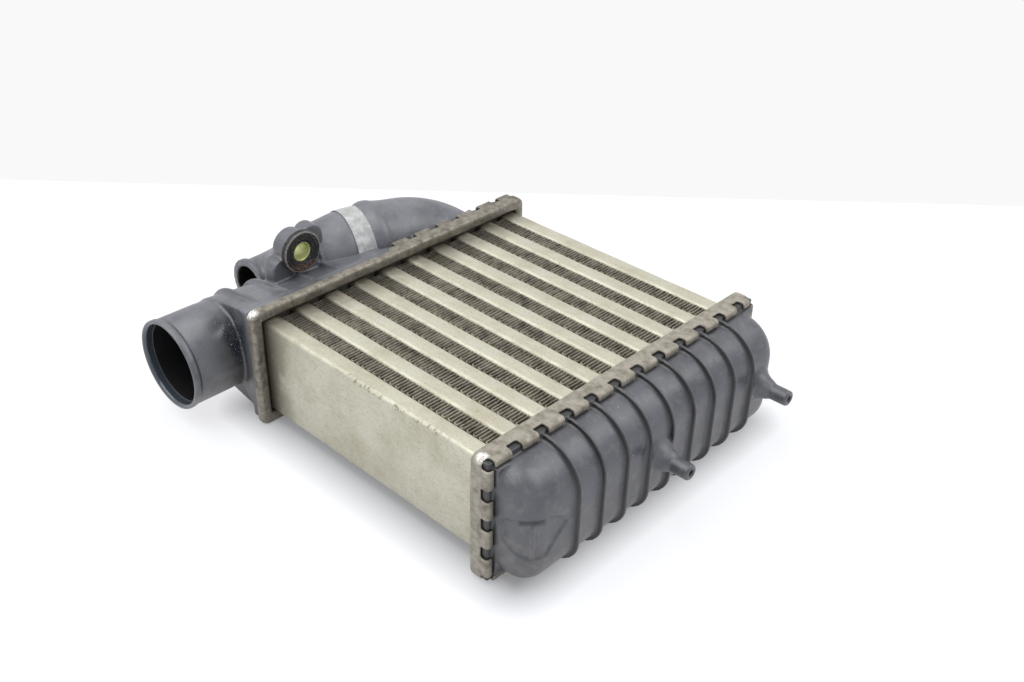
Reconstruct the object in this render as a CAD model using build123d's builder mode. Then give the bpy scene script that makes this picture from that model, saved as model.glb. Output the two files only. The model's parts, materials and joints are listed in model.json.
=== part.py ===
from build123d import *
import os
from math import asin, cos, degrees, hypot, radians, sin, tan

# Charge-air cooler (intercooler) of a small turbo-diesel car. Air turns back on itself: it
# comes in at the large port, crosses the front half of the tube stack to the return tank,
# and comes back through the rear half to the second port's duct.
#
# Frame, in millimetres: X runs along the tubes towards the return tank, Y across the stack
# of tubes with the large port's mouth at -Y, Z up through the depth of the core. The part
# lies on the rims of its two headers. The origin is on that surface, in the middle of the
# part's outline.

# ---- Driving dimensions -------------------------------------------------------------

# Core: flat tubes stacked along Y, a folded fin row between each pair
tube_count = 10
tube_height = 12.0
tube_wall = 0.8
tube_edge_flat = 1.7
tube_end = 2.6
fin_height = 9.9
fin_sheet = 0.22
fin_wall_spacing = 4.53
fin_end_gap = 1.2
fin_inset = 0.6
core_depth = 62.0
core_length = 175.4
turbulator_sheet = 0.3
turbulator_wall_spacing = 5.0
least_walls = 2
quarter_turn = 90

# Headers: pressed trays whose slit edges fold over the tanks' feet
sheet = 1.5
rim_margin = 1.1
rim_corner_radius = 5.0
least_corner_radius = 0.8
near_enough = 0.01
bend_radius = 2.5
inner_bend_flat = 1.0
fold_flat = 1.4
plate_rise = 5.0
tab_reach = 4.3
tab_clearance = 0.05
tab_gap = 0.6
notch_floor = 8.2
corner_cut = 5.2
notch_width = 7.2
notch_pitch = 19.0
notch_count = 11
return_notch_shift = 2.8
port_notch_shift = -1.0
end_notch_width = 7.4
end_notch_pitch = 18.6
end_notch_count = 3

# Seals and tank feet, in the headers' gutters
seal_height = 2.0
foot_thickness = 4.0
foot_height = 8.5
foot_clearance = 0.15
tank_inset = 3.4
tank_wall = 3.0
tank_lift = 0.1
rib_width = 2.0
rib_height = 2.7

# Return tank
return_depth = 36.9
return_top_radius = 23.5
return_bottom_radius = 16.5
return_end_flat = 8.2
cavity_end_flat = 6.4
peg_spacing_ribs = 5
peg_reach = 21.8
peg_radius = 4.7
peg_root_radius = 6.4
peg_boss_radius = 11.0
peg_cone = 4.5
peg_flare = 9.5
peg_bore_radius = 2.0
peg_bore_depth = 8.0
first_peg_notch = 6

# Port tank: a nose tapering towards the rear, joined to the foot by sloping flats
nose_slope = 10.2
nose_front_depth = 43.0
nose_taper = 13.5
ribs_before_duct = 4
ribs_behind_duct = 3
divider_wall = 3.0

# Large port
large_port_depth = 43.6
port_reach = 37.6
port_lip_radius = 28.3
port_lip_length = 4.0
port_stub_radius = 27.6
port_bore_radius = 25.4
port_chamfer = 1.3
groove_depth = 0.7
groove_width = 1.2
port_overrun = 6.0

# Second port's duct: rings of its outside as (out from the port header, y, z, radius)
duct_wall = 3.0
mouth_ring = (86.0, -58.0, 2.4, 16.0)
duct_rings = (
    mouth_ring,
    (86.0, -43.0, 2.4, 16.0),
    (70.0, -36.0, 12.5, 17.0),
    (59.0, -33.5, 21.0, 22.5),
    (52.5, -24.5, 24.6, 25.0),
    (43.6, 6.0, 26.3, 25.0),
    (41.0, 32.0, 23.0, 25.0),
    (33.5, 57.5, 13.2, 25.0),
    (21.5, 79.0, -6.0, 15.0),
)
band_stretch = 4
band_start = 7.6
band_width = 13.0
band_thickness = 0.35
collar_height = 1.4
collar_length = 5.5
mouth_bead = 1.6
mouth_bead_length = 3.8

# Rubber-bushed fixing eye on the port tank
eye_out = 32.3
eye_y = -54.4
eye_z = 48.0
eye_length = 11.0
eye_radius = 11.4
eye_bore_radius = 9.0
eye_foot_front = -73.0
eye_foot_back = -40.0
eye_shoulder_z = 45.0
eye_shoulder_radius = 6.0
eye_foot_z = 20.0
grommet_radius = 13.6
grommet_flange = 4.0
grommet_groove = 0.8
grommet_groove_radius = 10.4
sleeve_radius = 6.5
sleeve_wall = 1.2
sleeve_inset = 1.0

# ---- Sizes that follow --------------------------------------------------------------

tube_pitch = tube_height + fin_height
core_width = tube_count * tube_height + (tube_count - 1) * fin_height
gutter = foot_thickness + 2 * foot_clearance
header_lip = rim_margin + sheet + gutter + sheet
foot_base = sheet + seal_height
foot_top = foot_base + foot_height
tab_top = foot_top + tab_clearance + sheet
header_width = core_width + 2 * header_lip
header_height = core_depth + 2 * header_lip
tank_base = plate_rise + sheet + tank_lift
skin_half_width = header_width / 2 - sheet - foot_clearance - tank_inset
skin_half_height = header_height / 2 - sheet - foot_clearance - tank_inset

# ---- Origin -------------------------------------------------------------------------

part_max_x = core_length / 2 + return_depth + peg_reach
part_min_x = -(core_length / 2 + mouth_ring[0] + mouth_ring[3] + mouth_bead)
part_max_y = header_width / 2
part_min_y = -skin_half_width - port_reach
core_x = -(part_max_x + part_min_x) / 2
core_y = -(part_max_y + part_min_y) / 2
core_z = header_height / 2

PORT, RETURN = -1, 1


def across(x):
    """Plane square to the tubes, x from the core's middle; its own axes are Y and Z."""
    return Plane(origin=(core_x + x, core_y, core_z), x_dir=(0, 1, 0), z_dir=(1, 0, 0))


def along(y):
    """Upright plane along the tubes, y from the core's middle, facing -Y; axes X and Z."""
    return Plane(origin=(core_x, core_y + y, core_z), x_dir=(1, 0, 0), z_dir=(0, -1, 0))


def level(z):
    """Level plane, z from the core's middle; its own axes are X and Y."""
    return Plane(origin=(core_x, core_y, core_z + z), x_dir=(1, 0, 0), z_dir=(0, 0, 1))


def out(side, distance):
    """X, from the core's middle, of a place that far out from a header's rim face."""
    return side * (core_length / 2 + distance)


def rim(inset, mode=Mode.ADD):
    """The header's outline drawn in by an inset, square once its corners run out."""
    width, height = header_width - 2 * inset, header_height - 2 * inset
    if inset < rim_corner_radius - least_corner_radius:
        return RectangleRounded(width, height, rim_corner_radius - inset, mode=mode)
    return Rectangle(width, height, mode=mode)


def tube_centres():
    return [(k - (tube_count - 1) / 2) * tube_pitch for k in range(tube_count)]


def notch_centres(shift):
    return [shift + (k - (notch_count - 1) / 2) * notch_pitch for k in range(notch_count)]


def end_notch_centres():
    return [(k - (end_notch_count - 1) / 2) * end_notch_pitch for k in range(end_notch_count)]


def folded_sheet(length, height, thickness, spacing):
    """Points of a sheet folded to and fro between two faces, run along its own x."""
    walls = max(least_walls, int(length / spacing))
    slope = spacing / hypot(spacing, height)
    drop = thickness / slope
    start = -walls * spacing / 2
    upper = []
    for k in range(walls + 1):
        crest = height / 2 if k % 2 else -height / 2 + drop
        upper.append((start + k * spacing, crest))
    lower = [(x, y - drop) for x, y in reversed(upper)]
    return upper + lower


def save(piece, name):
    piece.part.label = name
    export_step(piece.part, f"parts/{name}.step")


# ---- Core ---------------------------------------------------------------------------


def make_tube(y):
    with BuildPart() as tube:
        with BuildSketch(across(-out(RETURN, plate_rise + sheet + tube_end))) as section:
            with Locations((y, 0)):
                Rectangle(tube_height, core_depth)
            chamfer(section.vertices(), length=tube_edge_flat)
            offset(amount=-tube_wall, kind=Kind.INTERSECTION, mode=Mode.SUBTRACT)
        extrude(amount=2 * out(RETURN, plate_rise + sheet + tube_end))
    return tube


def make_turbulator(y):
    length = 2 * out(RETURN, plate_rise)
    with BuildPart() as turbulator:
        with BuildSketch(across(-length / 2)):
            with Locations(Location((y, 0), quarter_turn)):
                points = folded_sheet(
                    core_depth - 2 * tube_edge_flat - 2 * tube_wall,
                    tube_height - 2 * tube_wall,
                    turbulator_sheet,
                    turbulator_wall_spacing,
                )
                Polygon(*points, align=None)
        extrude(amount=length)
    return turbulator


def make_fin_row(y):
    with BuildPart() as fins:
        with BuildSketch(level(-core_depth / 2 + fin_inset)):
            with Locations((0, y)):
                points = folded_sheet(
                    core_length - 2 * fin_end_gap, fin_height, fin_sheet, fin_wall_spacing
                )
                Polygon(*points, align=None)
        extrude(amount=core_depth - 2 * fin_inset)
    return fins


# ---- Headers and seals --------------------------------------------------------------


def make_header(side, notch_shift):
    """A tray pressed from sheet: gutter, tube plate, and an edge slit and folded inwards."""
    with BuildPart() as header:
        with BuildSketch(across(out(side, 0))):
            rim(0)
        extrude(amount=side * tab_top)
        ends = header.faces().filter_by(Axis.X).sort_by(Axis.X, reverse=side == PORT)
        fillet(ends[0].edges(), radius=bend_radius)
        chamfer(ends[-1].edges(), length=fold_flat)

        # Room above the tube plate, and the opening inside the folded edge
        with BuildSketch(across(out(side, plate_rise + sheet))):
            rim(sheet)
        extrude(amount=side * (tab_top - plate_rise - 2 * sheet), mode=Mode.SUBTRACT)
        with BuildSketch(across(out(side, tab_top - sheet))):
            rim(tab_reach)
        extrude(amount=side * sheet, mode=Mode.SUBTRACT)

        # Gutter round the tube plate, for the seal and the tank's foot
        with BuildSketch(across(out(side, sheet))):
            rim(sheet)
            rim(sheet + gutter, mode=Mode.SUBTRACT)
        extrude(amount=side * plate_rise, mode=Mode.SUBTRACT)

        # Recess in which the tube plate lies, seen from the core
        with BuildSketch(across(out(side, 0))):
            rim(sheet + gutter + sheet)
        extrude(amount=side * plate_rise, mode=Mode.SUBTRACT)
        floor_face = header.faces().filter_by(Axis.X).sort_by(Axis.X, reverse=side == PORT)[0]
        chamfer(floor_face.inner_wires()[0].edges(), length=inner_bend_flat)

        # Tube slots
        with BuildSketch(across(out(side, plate_rise))) as slots:
            with Locations([(y, 0) for y in tube_centres()]):
                Rectangle(tube_height, core_depth)
            chamfer(slots.vertices(), length=tube_edge_flat)
        extrude(amount=side * sheet, mode=Mode.SUBTRACT)

        # Slits between the folded tabs, and the corners cut away
        with BuildSketch(across(out(side, notch_floor))):
            with Locations([(y, 0) for y in notch_centres(notch_shift)]):
                Rectangle(notch_width, header_height)
            with Locations([(0, z) for z in end_notch_centres()]):
                Rectangle(header_width, end_notch_width)
            with GridLocations(header_width - corner_cut, header_height - corner_cut, 2, 2):
                Rectangle(corner_cut, corner_cut)
        extrude(amount=side * (tab_top - notch_floor), mode=Mode.SUBTRACT)
    return header


def make_seal(side):
    with BuildPart() as seal:
        with BuildSketch(across(out(side, sheet))):
            rim(sheet + foot_clearance)
            rim(sheet + foot_clearance + foot_thickness, mode=Mode.SUBTRACT)
        extrude(amount=side * seal_height)
    return seal


# ---- Tanks --------------------------------------------------------------------------


def foot_sketch(side):
    """The tank's foot, a frame that stands on the seal in the header's gutter."""
    with BuildSketch(across(out(side, foot_base))) as foot:
        rim(sheet + foot_clearance)
        rim(sheet + foot_clearance + foot_thickness, mode=Mode.SUBTRACT)
    return foot.sketch


def return_section(y, grow):
    """Section of the return tank's outside at y, grown or shrunk by an amount."""
    depth, half_height = return_depth + grow, skin_half_height + grow
    with BuildSketch(along(y)) as section:
        with Locations((out(RETURN, (tank_base + depth) / 2), 0)):
            Rectangle(depth - tank_base, 2 * half_height)
        bottom, top = section.vertices().group_by(Axis.X)[-1].sort_by(Axis.Y)
        fillet(top, radius=return_top_radius + grow)
        bottom = section.vertices().group_by(Axis.Y)[0].sort_by(Axis.X)[-1]
        fillet(bottom, radius=return_bottom_radius + grow)
    return section.sketch


def straight_stretch(side, grow):
    """The straight-walled stretch of a tank beside its header, up to the folded tabs."""
    reach = tab_top + tab_gap + grow - tank_base
    with BuildPart() as stretch:
        with BuildSketch(across(out(side, tank_base))):
            Rectangle(2 * (skin_half_width + grow), 2 * (skin_half_height + grow))
        extrude(amount=side * reach)
    return stretch.part


def far_end_edges(tank, side):
    """Edges round the tank's two end walls, without those that meet its open side."""
    base_x = core_x + out(side, tank_base)
    edges = tank.faces().filter_by(Axis.Y).edges()
    return [edge for edge in edges if abs(edge.center().X - base_x) > near_enough]


def return_cavity():
    half_width = skin_half_width - tank_wall
    with BuildPart() as cavity:
        extrude(return_section(half_width, -tank_wall), amount=2 * half_width)
        chamfer(far_end_edges(cavity, RETURN), length=cavity_end_flat)
        add(straight_stretch(RETURN, -tank_wall))
    return cavity.part


def peg_outline(y):
    """Half of a location peg, turned about its own axis: a cone off the wall, then a pin."""
    wall_x, tip_x = out(RETURN, return_depth), out(RETURN, return_depth + peg_reach)
    with BuildSketch(level(0)) as outline:
        Polygon(
            (wall_x - tank_wall, y),
            (tip_x, y),
            (tip_x, y + peg_radius),
            (wall_x + peg_flare, y + peg_radius),
            (wall_x + peg_cone, y + peg_root_radius),
            (wall_x, y + peg_boss_radius),
            (wall_x - tank_wall, y + peg_boss_radius),
            align=None,
        )
    return outline.sketch


def make_return_tank():
    notches = notch_centres(return_notch_shift)
    first_peg = notches[first_peg_notch - 1] - notch_pitch / 2
    pegs = (first_peg, first_peg + peg_spacing_ribs * notch_pitch)
    with BuildPart() as tank:
        extrude(return_section(skin_half_width, 0), amount=2 * skin_half_width)
        chamfer(far_end_edges(tank, RETURN), length=return_end_flat)
        add(straight_stretch(RETURN, 0))

        # Stiffening ribs over the outside, each ending between two tabs
        for y in notches[1:-1]:
            extrude(return_section(y + rib_width / 2, rib_height), amount=rib_width)

        for y in pegs:
            revolve(peg_outline(y), axis=Axis((core_x, core_y + y, core_z), (1, 0, 0)))
        with BuildSketch(across(out(RETURN, return_depth + peg_reach))):
            with Locations([(y, 0) for y in pegs]):
                Circle(peg_bore_radius)
        extrude(amount=-peg_bore_depth, mode=Mode.SUBTRACT)

        # Hollow inside, and the foot
        add(return_cavity(), mode=Mode.SUBTRACT)
        extrude(foot_sketch(RETURN), amount=foot_height)
    return tank


def port_solid(grow):
    """The port tank's outside, grown or shrunk: a slanted cone and the wedge it is tangent to.

    Both sloping flats run through the cone's tip and along the foot, so they meet the cone
    without a crease and the foot's edge in a straight line.
    """
    slope, taper = radians(nose_slope), radians(nose_taper)
    half_height, half_width = skin_half_height + grow, skin_half_width + grow
    tip_out = tab_top + skin_half_height / tan(slope)
    tip_y = -skin_half_width - (tip_out - nose_front_depth) / tan(taper)
    tip = place(tip_out, tip_y, 0)
    half_angle = asin(sin(taper) * sin(slope))
    front = (-half_width - nose_front_depth - tip_y) / cos(taper)
    back = (half_width + nose_front_depth - tip_y) / cos(taper)
    normals = [Vector(-sin(slope), 0, side * cos(slope)) for side in (-1, 1)]
    with BuildPart() as solid:
        # The wedge between the foot and the cone, cut from a block
        with BuildSketch(along(half_width)):
            with Locations((out(PORT, (tank_base + tip_out) / 2), 0)):
                Rectangle(tip_out - tank_base, 2 * half_height)
        extrude(amount=2 * half_width)
        for side, normal in zip((-1, 1), normals):
            edge = place(tab_top, 0, side * skin_half_height)
            split(bisect_by=Plane(origin=edge + normal * grow, z_dir=normal), keep=Keep.BOTTOM)
        outward = Vector(-cos(taper), sin(taper) * cos(slope) ** 2, 0)
        split(bisect_by=Plane(origin=tip + normals[1] * grow, z_dir=outward), keep=Keep.BOTTOM)

        # The nose, and the straight stretch beside the foot
        nose = Plane(origin=tip, z_dir=Vector(sin(taper), cos(taper), 0)).offset(front)
        with Locations(nose):
            Cone(
                bottom_radius=front * tan(half_angle) + grow / cos(half_angle),
                top_radius=back * tan(half_angle) + grow / cos(half_angle),
                height=back - front,
                align=(Align.CENTER, Align.CENTER, Align.MIN),
            )
        add(straight_stretch(PORT, grow))
        split(bisect_by=across(out(PORT, tank_base)), keep=Keep.BOTTOM)
        split(bisect_by=along(-half_width), keep=Keep.BOTTOM)
        split(bisect_by=along(half_width), keep=Keep.TOP)
    return solid.part


def place(distance, y, z):
    """A place given as out from the port header, y and z, in the part's own frame."""
    return Vector(core_x + out(PORT, distance), core_y + y, core_z + z)


def stretch_plane(k):
    """Plane at the k-th ring of the duct, facing the next ring."""
    start, end = place(*duct_rings[k][:3]), place(*duct_rings[k + 1][:3])
    return Plane(origin=start, z_dir=end - start)


def mitre_plane(k):
    """Plane that halves the bend at the k-th ring of the duct."""
    ahead, behind = stretch_plane(k), stretch_plane(k - 1)
    return Plane(origin=ahead.origin, z_dir=ahead.z_dir + behind.z_dir)


def duct_stretch(k, grow, overrun):
    """One straight stretch of the duct, cut square at the duct's ends and mitred elsewhere."""
    start, end = stretch_plane(k), place(*duct_rings[k + 1][:3])
    length = (end - start.origin).length
    radius, end_radius = duct_rings[k][3] + grow, duct_rings[k + 1][3] + grow
    last_stretch = k + 2 == len(duct_rings)
    before = radius if k else overrun
    behind = 0 if last_stretch else end_radius
    spread = (end_radius - radius) / length
    with BuildPart() as stretch:
        if spread:
            with Locations(start.offset(-before)):
                Cone(
                    bottom_radius=radius - before * spread,
                    top_radius=end_radius + behind * spread,
                    height=before + length + behind,
                    align=(Align.CENTER, Align.CENTER, Align.MIN),
                )
        else:
            with BuildSketch(start.offset(-before)):
                Circle(radius)
            extrude(amount=before + length + behind)
        if k:
            split(bisect_by=mitre_plane(k), keep=Keep.TOP)
        if not last_stretch:
            split(bisect_by=mitre_plane(k + 1), keep=Keep.BOTTOM)
    return stretch.part


def duct(grow, overrun=0):
    """The second port's duct, outside or bore, clear of the header it runs beside."""
    with BuildPart() as solid:
        for k in range(len(duct_rings) - 1):
            add(duct_stretch(k, grow, overrun))
        split(bisect_by=across(out(PORT, tab_top + tab_gap)), keep=Keep.BOTTOM)
    return solid.part


def port_ribs():
    """Ribs round the port tank's outside, one between each two tabs."""
    with BuildPart() as ribs:
        add(port_solid(rib_height))
        with BuildSketch(level(-skin_half_height - rib_height)):
            reach = mouth_ring[0] - foot_top
            notches = notch_centres(port_notch_shift)
            ribbed = notches[:ribs_before_duct] + notches[-ribs_behind_duct:]
            with Locations([(out(PORT, foot_top + reach / 2), y) for y in ribbed]):
                Rectangle(reach, rib_width)
        extrude(amount=2 * (skin_half_height + rib_height), mode=Mode.INTERSECT)
    return ribs.part


def large_port_outline():
    """Half of the large port's outside, turned about its axis: stub, groove and lip."""
    axis_x, mouth_y = out(PORT, large_port_depth), -skin_half_width - port_reach
    radii = (
        (port_stub_radius, -skin_half_width + tank_wall),
        (port_stub_radius, mouth_y + port_lip_length + groove_width),
        (port_stub_radius - groove_depth, mouth_y + port_lip_length + groove_width),
        (port_stub_radius - groove_depth, mouth_y + port_lip_length),
        (port_lip_radius, mouth_y + port_lip_length),
        (port_lip_radius, mouth_y),
    )
    with BuildSketch(level(0)) as outline:
        Polygon(
            (axis_x, -skin_half_width + tank_wall),
            *[(axis_x - radius, y) for radius, y in radii],
            (axis_x, mouth_y),
            align=None,
        )
    return outline.sketch


def make_port_tank():
    port_axis = Axis((core_x + out(PORT, large_port_depth), core_y, core_z), (0, 1, 0))
    mouth_y = -skin_half_width - port_reach
    with BuildPart() as front_chamber:
        add(port_solid(-tank_wall))
        split(bisect_by=along(-divider_wall / 2), keep=Keep.TOP)
        add(duct(0), mode=Mode.SUBTRACT)
    with BuildPart() as rear_chamber:
        add(port_solid(-tank_wall))
        split(bisect_by=along(divider_wall / 2), keep=Keep.BOTTOM)
    with BuildPart() as tank:
        add(port_solid(0))
        add(port_ribs())
        revolve(large_port_outline(), axis=port_axis)
        add(duct(0))
        with BuildSketch(stretch_plane(0)):
            Circle(mouth_ring[3] + mouth_bead)
        extrude(amount=mouth_bead_length)
        with BuildSketch(stretch_plane(band_stretch).offset(band_start + band_width)):
            Circle(duct_rings[band_stretch][3] + collar_height)
        extrude(amount=collar_length)

        # Fixing eye on its foot
        with BuildSketch(across(out(PORT, eye_out + eye_length))) as eye:
            with Locations(((eye_foot_front + eye_foot_back) / 2, (eye_foot_z + eye_shoulder_z) / 2)):
                Rectangle(eye_foot_back - eye_foot_front, eye_shoulder_z - eye_foot_z)
            fillet(eye.vertices().group_by(Axis.Y)[-1], radius=eye_shoulder_radius)
            with Locations((eye_y, eye_z)):
                Circle(eye_radius)
        extrude(amount=eye_length)

        # Chambers, divided between the two ports, and the ways into them
        add(front_chamber.part, mode=Mode.SUBTRACT)
        add(rear_chamber.part, mode=Mode.SUBTRACT)
        add(duct(-duct_wall, overrun=duct_wall), mode=Mode.SUBTRACT)
        with BuildSketch(along(mouth_y)):
            with Locations((out(PORT, large_port_depth), 0)):
                Circle(port_bore_radius)
        extrude(amount=-(port_reach + tank_wall + port_overrun), mode=Mode.SUBTRACT)
        mouth_edges = tank.edges().filter_by(GeomType.CIRCLE).group_by(Axis.Y)[0]
        chamfer(mouth_edges.sort_by(SortBy.RADIUS)[0], length=port_chamfer)
        with BuildSketch(across(out(PORT, eye_out))):
            with Locations((eye_y, eye_z)):
                Circle(eye_bore_radius)
        extrude(amount=-eye_length, mode=Mode.SUBTRACT)
        extrude(foot_sketch(PORT), amount=-foot_height)
    return tank


# ---- Fixing eye's bush, and the band round the duct ---------------------------------


def make_grommet():
    """Rubber bush: a flange against the eye, and a neck through it."""
    face_x = out(PORT, eye_out - grommet_groove - grommet_flange)
    with BuildPart() as grommet:
        with BuildSketch(across(face_x)):
            with Locations((eye_y, eye_z)):
                Circle(grommet_radius)
        extrude(amount=-grommet_flange)
        with BuildSketch(across(out(PORT, eye_out - grommet_groove))):
            with Locations((eye_y, eye_z)):
                Circle(grommet_groove_radius)
        extrude(amount=-grommet_groove)
        with BuildSketch(across(out(PORT, eye_out))):
            with Locations((eye_y, eye_z)):
                Circle(eye_bore_radius)
        extrude(amount=-eye_length)
        with BuildSketch(across(face_x)):
            with Locations((eye_y, eye_z)):
                Circle(sleeve_radius)
        extrude(amount=-(grommet_flange + grommet_groove + eye_length), mode=Mode.SUBTRACT)
    return grommet


def make_sleeve():
    with BuildPart() as sleeve:
        with BuildSketch(across(out(PORT, eye_out - grommet_groove - grommet_flange + sleeve_inset))):
            with Locations((eye_y, eye_z)):
                Circle(sleeve_radius)
                Circle(sleeve_radius - sleeve_wall, mode=Mode.SUBTRACT)
        extrude(amount=-(grommet_flange + grommet_groove + eye_length - sleeve_inset))
    return sleeve


def make_duct_band():
    """Thin band wrapped round the duct's outer side, ending where the duct meets the tank."""
    with BuildPart() as band:
        with BuildSketch(stretch_plane(band_stretch).offset(band_start)):
            Circle(duct_rings[band_stretch][3] + band_thickness)
            Circle(duct_rings[band_stretch][3], mode=Mode.SUBTRACT)
        extrude(amount=band_width)
        add(port_solid(band_thickness), mode=Mode.SUBTRACT)
    return band


# ---- All pieces ---------------------------------------------------------------------

os.makedirs("parts", exist_ok=True)
for number, y in enumerate(tube_centres(), start=1):
    save(make_tube(y), f"tube_{number}")
    save(make_turbulator(y), f"turbulator_{number}")
for number, y in enumerate(tube_centres()[:-1], start=1):
    save(make_fin_row(y + tube_pitch / 2), f"fin_row_{number}")
save(make_header(PORT, port_notch_shift), "port_header")
save(make_header(RETURN, return_notch_shift), "return_header")
save(make_seal(PORT), "port_seal")
save(make_seal(RETURN), "return_seal")
save(make_port_tank(), "port_tank")
save(make_return_tank(), "return_tank")
save(make_grommet(), "mount_grommet")
save(make_sleeve(), "mount_sleeve")
save(make_duct_band(), "duct_band")
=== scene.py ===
"""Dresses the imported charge-air cooler: tubes, fins, headers, moulded tanks, and their finishes.

Every piece is built in metres in the frame's own coordinates, with its object at the origin.
Sizes are given in millimetres, measured from the middle of the core, and turned to metres
where they enter a mesh.
"""

from __future__ import annotations

import json
import logging
import math
import random
from dataclasses import dataclass
from enum import Enum

import bmesh
import bpy
from mathutils import Matrix, Vector, noise
from mathutils.kdtree import KDTree

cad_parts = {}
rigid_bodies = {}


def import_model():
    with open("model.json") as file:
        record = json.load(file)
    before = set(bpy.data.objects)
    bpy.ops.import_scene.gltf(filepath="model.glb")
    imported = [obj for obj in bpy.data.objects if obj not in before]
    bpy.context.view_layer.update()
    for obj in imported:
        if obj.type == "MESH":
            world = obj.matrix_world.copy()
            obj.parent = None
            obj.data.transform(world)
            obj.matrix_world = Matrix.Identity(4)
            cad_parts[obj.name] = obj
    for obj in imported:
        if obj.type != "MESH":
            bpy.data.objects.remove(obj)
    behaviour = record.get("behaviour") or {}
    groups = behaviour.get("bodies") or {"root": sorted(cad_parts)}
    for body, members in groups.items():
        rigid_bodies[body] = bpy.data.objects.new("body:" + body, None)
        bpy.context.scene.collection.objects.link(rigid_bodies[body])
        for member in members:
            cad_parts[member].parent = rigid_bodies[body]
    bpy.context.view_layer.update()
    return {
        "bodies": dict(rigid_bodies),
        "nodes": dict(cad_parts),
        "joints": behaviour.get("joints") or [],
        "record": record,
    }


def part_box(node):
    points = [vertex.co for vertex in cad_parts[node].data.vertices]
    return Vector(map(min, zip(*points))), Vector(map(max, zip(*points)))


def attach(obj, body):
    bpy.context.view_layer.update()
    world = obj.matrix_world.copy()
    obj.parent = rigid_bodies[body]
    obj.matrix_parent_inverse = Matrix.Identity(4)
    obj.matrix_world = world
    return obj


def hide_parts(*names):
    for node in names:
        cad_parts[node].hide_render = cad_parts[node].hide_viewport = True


log = logging.getLogger("cooler")

MM = 0.001
BODY = "root"

# How far each smoothing pass moves a moulded skin's points towards their neighbours' middle.
SOFTENING = 0.5

# Distances in metres within which two heights are one level and two points are one point.
LEVEL = 1e-6
SPUN_SEAM = 1e-6
SOLID_SEAM = 2e-6
FOLD_SEAM = 1e-5


# ---- Where things are ---------------------------------------------------------------


class Side(Enum):
    """The core's two ends, as the sign of X."""

    PORT = -1
    RETURN = 1


@dataclass(frozen=True)
class CoreFrame:
    """The core's middle and half sizes in metres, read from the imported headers."""

    middle: Vector
    half_length: float
    half_width: float
    half_height: float

    @classmethod
    def from_headers(cls) -> CoreFrame:
        """Measures the frame between the two headers.

        Returns:
            The core's frame.
        """
        port_low, port_high = (Vector(corner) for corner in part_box("port_header"))
        return_low, _ = (Vector(corner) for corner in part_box("return_header"))
        middle = (port_low + port_high) / 2
        middle.x = (port_high.x + return_low.x) / 2
        size = port_high - port_low
        return cls(middle, (return_low.x - port_high.x) / 2, size.y / 2, size.z / 2)

    def at(self, side: Side, out: float, y: float, z: float) -> Vector:
        """Gives a place, in metres, from millimetres out from a header's rim face, across and up."""
        offset = Vector((side.value * (self.half_length + out * MM), y * MM, z * MM))
        return self.middle + offset

    def inside(self, x: float, y: float, z: float) -> Vector:
        """Gives a place, in metres, from millimetres measured from the core's middle."""
        return self.middle + Vector((x, y, z)) * MM

    def measured(self, point: Vector) -> Vector:
        """Gives a place in millimetres measured from the core's middle."""
        return (point - self.middle) / MM

    def outward(self, side: Side, place: Vector) -> float:
        """Gives how far a measured place lies outwards from a header's rim face."""
        return side.value * place.x - self.half_length / MM


# ---- Mesh helpers -------------------------------------------------------------------


def new_piece(name: str, bm: bmesh.types.BMesh, finish: bpy.types.Material) -> bpy.types.Object:
    """Makes an object from a finished bmesh, rides it on the body and frees the bmesh.

    Args:
        name: The piece's name.
        bm: Its mesh, in the frame's coordinates.
        finish: Its material.

    Returns:
        The new object, smooth shaded.
    """
    mesh = bpy.data.meshes.new(name)
    bm.to_mesh(mesh)
    bm.free()
    mesh.polygons.foreach_set("use_smooth", [True] * len(mesh.polygons))
    mesh.materials.append(finish)
    piece = bpy.data.objects.new(name, mesh)
    bpy.context.scene.collection.objects.link(piece)
    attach(piece, BODY)
    log.info("%s: %d faces", name, len(mesh.polygons))
    return piece


def repaint(node: bpy.types.Object, finish: bpy.types.Material) -> None:
    """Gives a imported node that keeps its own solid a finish."""
    node.data.materials.clear()
    node.data.materials.append(finish)


def picked(made: dict, kind: type) -> list:
    """Picks the verts, edges or faces out of what a bmesh operator made."""
    return [item for item in made["geom"] if isinstance(item, kind)]


def sharpen(bm: bmesh.types.BMesh, angle: float = 35.0) -> None:
    """Marks edges steeper than an angle as sharp, so that flats stay flat when smooth shaded.

    Args:
        bm: The mesh to mark.
        angle: The least angle between faces, in degrees.
    """
    for edge in bm.edges:
        steep = edge.calc_face_angle(0.0) > math.radians(angle)
        edge.smooth = not steep


def round_corners(bm: bmesh.types.BMesh, corners: dict[int, float], verts: list, segments: int) -> None:
    """Rounds chosen corners of a flat outline, each with its own radius.

    Args:
        bm: The mesh that holds the outline.
        corners: Radius in metres by the corner's place in the outline.
        verts: The outline's corners in order.
        segments: Flats in each rounded corner.
    """
    for index, radius in corners.items():
        corner = verts[index]
        first, second = (edge.other_vert(corner).co - corner.co for edge in corner.link_edges)
        reach = radius / math.tan(first.angle(second) / 2)
        bmesh.ops.bevel(
            bm, geom=[corner], offset=reach, offset_type="OFFSET", segments=segments,
            profile=0.5, affect="VERTICES", material=-1,
        )


def outline_face(bm: bmesh.types.BMesh, points: list[Vector], radii: dict[int, float], segments: int) -> list:
    """Draws a flat face with rounded corners.

    Args:
        bm: The mesh to draw in.
        points: Corners of the outline, in metres.
        radii: Corner radius in metres by the corner's place.
        segments: Flats in each rounded corner.

    Returns:
        The faces made.
    """
    before = set(bm.faces)
    verts = [bm.verts.new(point) for point in points]
    bm.faces.new(verts)
    round_corners(bm, radii, verts, segments)
    return [face for face in bm.faces if face not in before]


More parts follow.
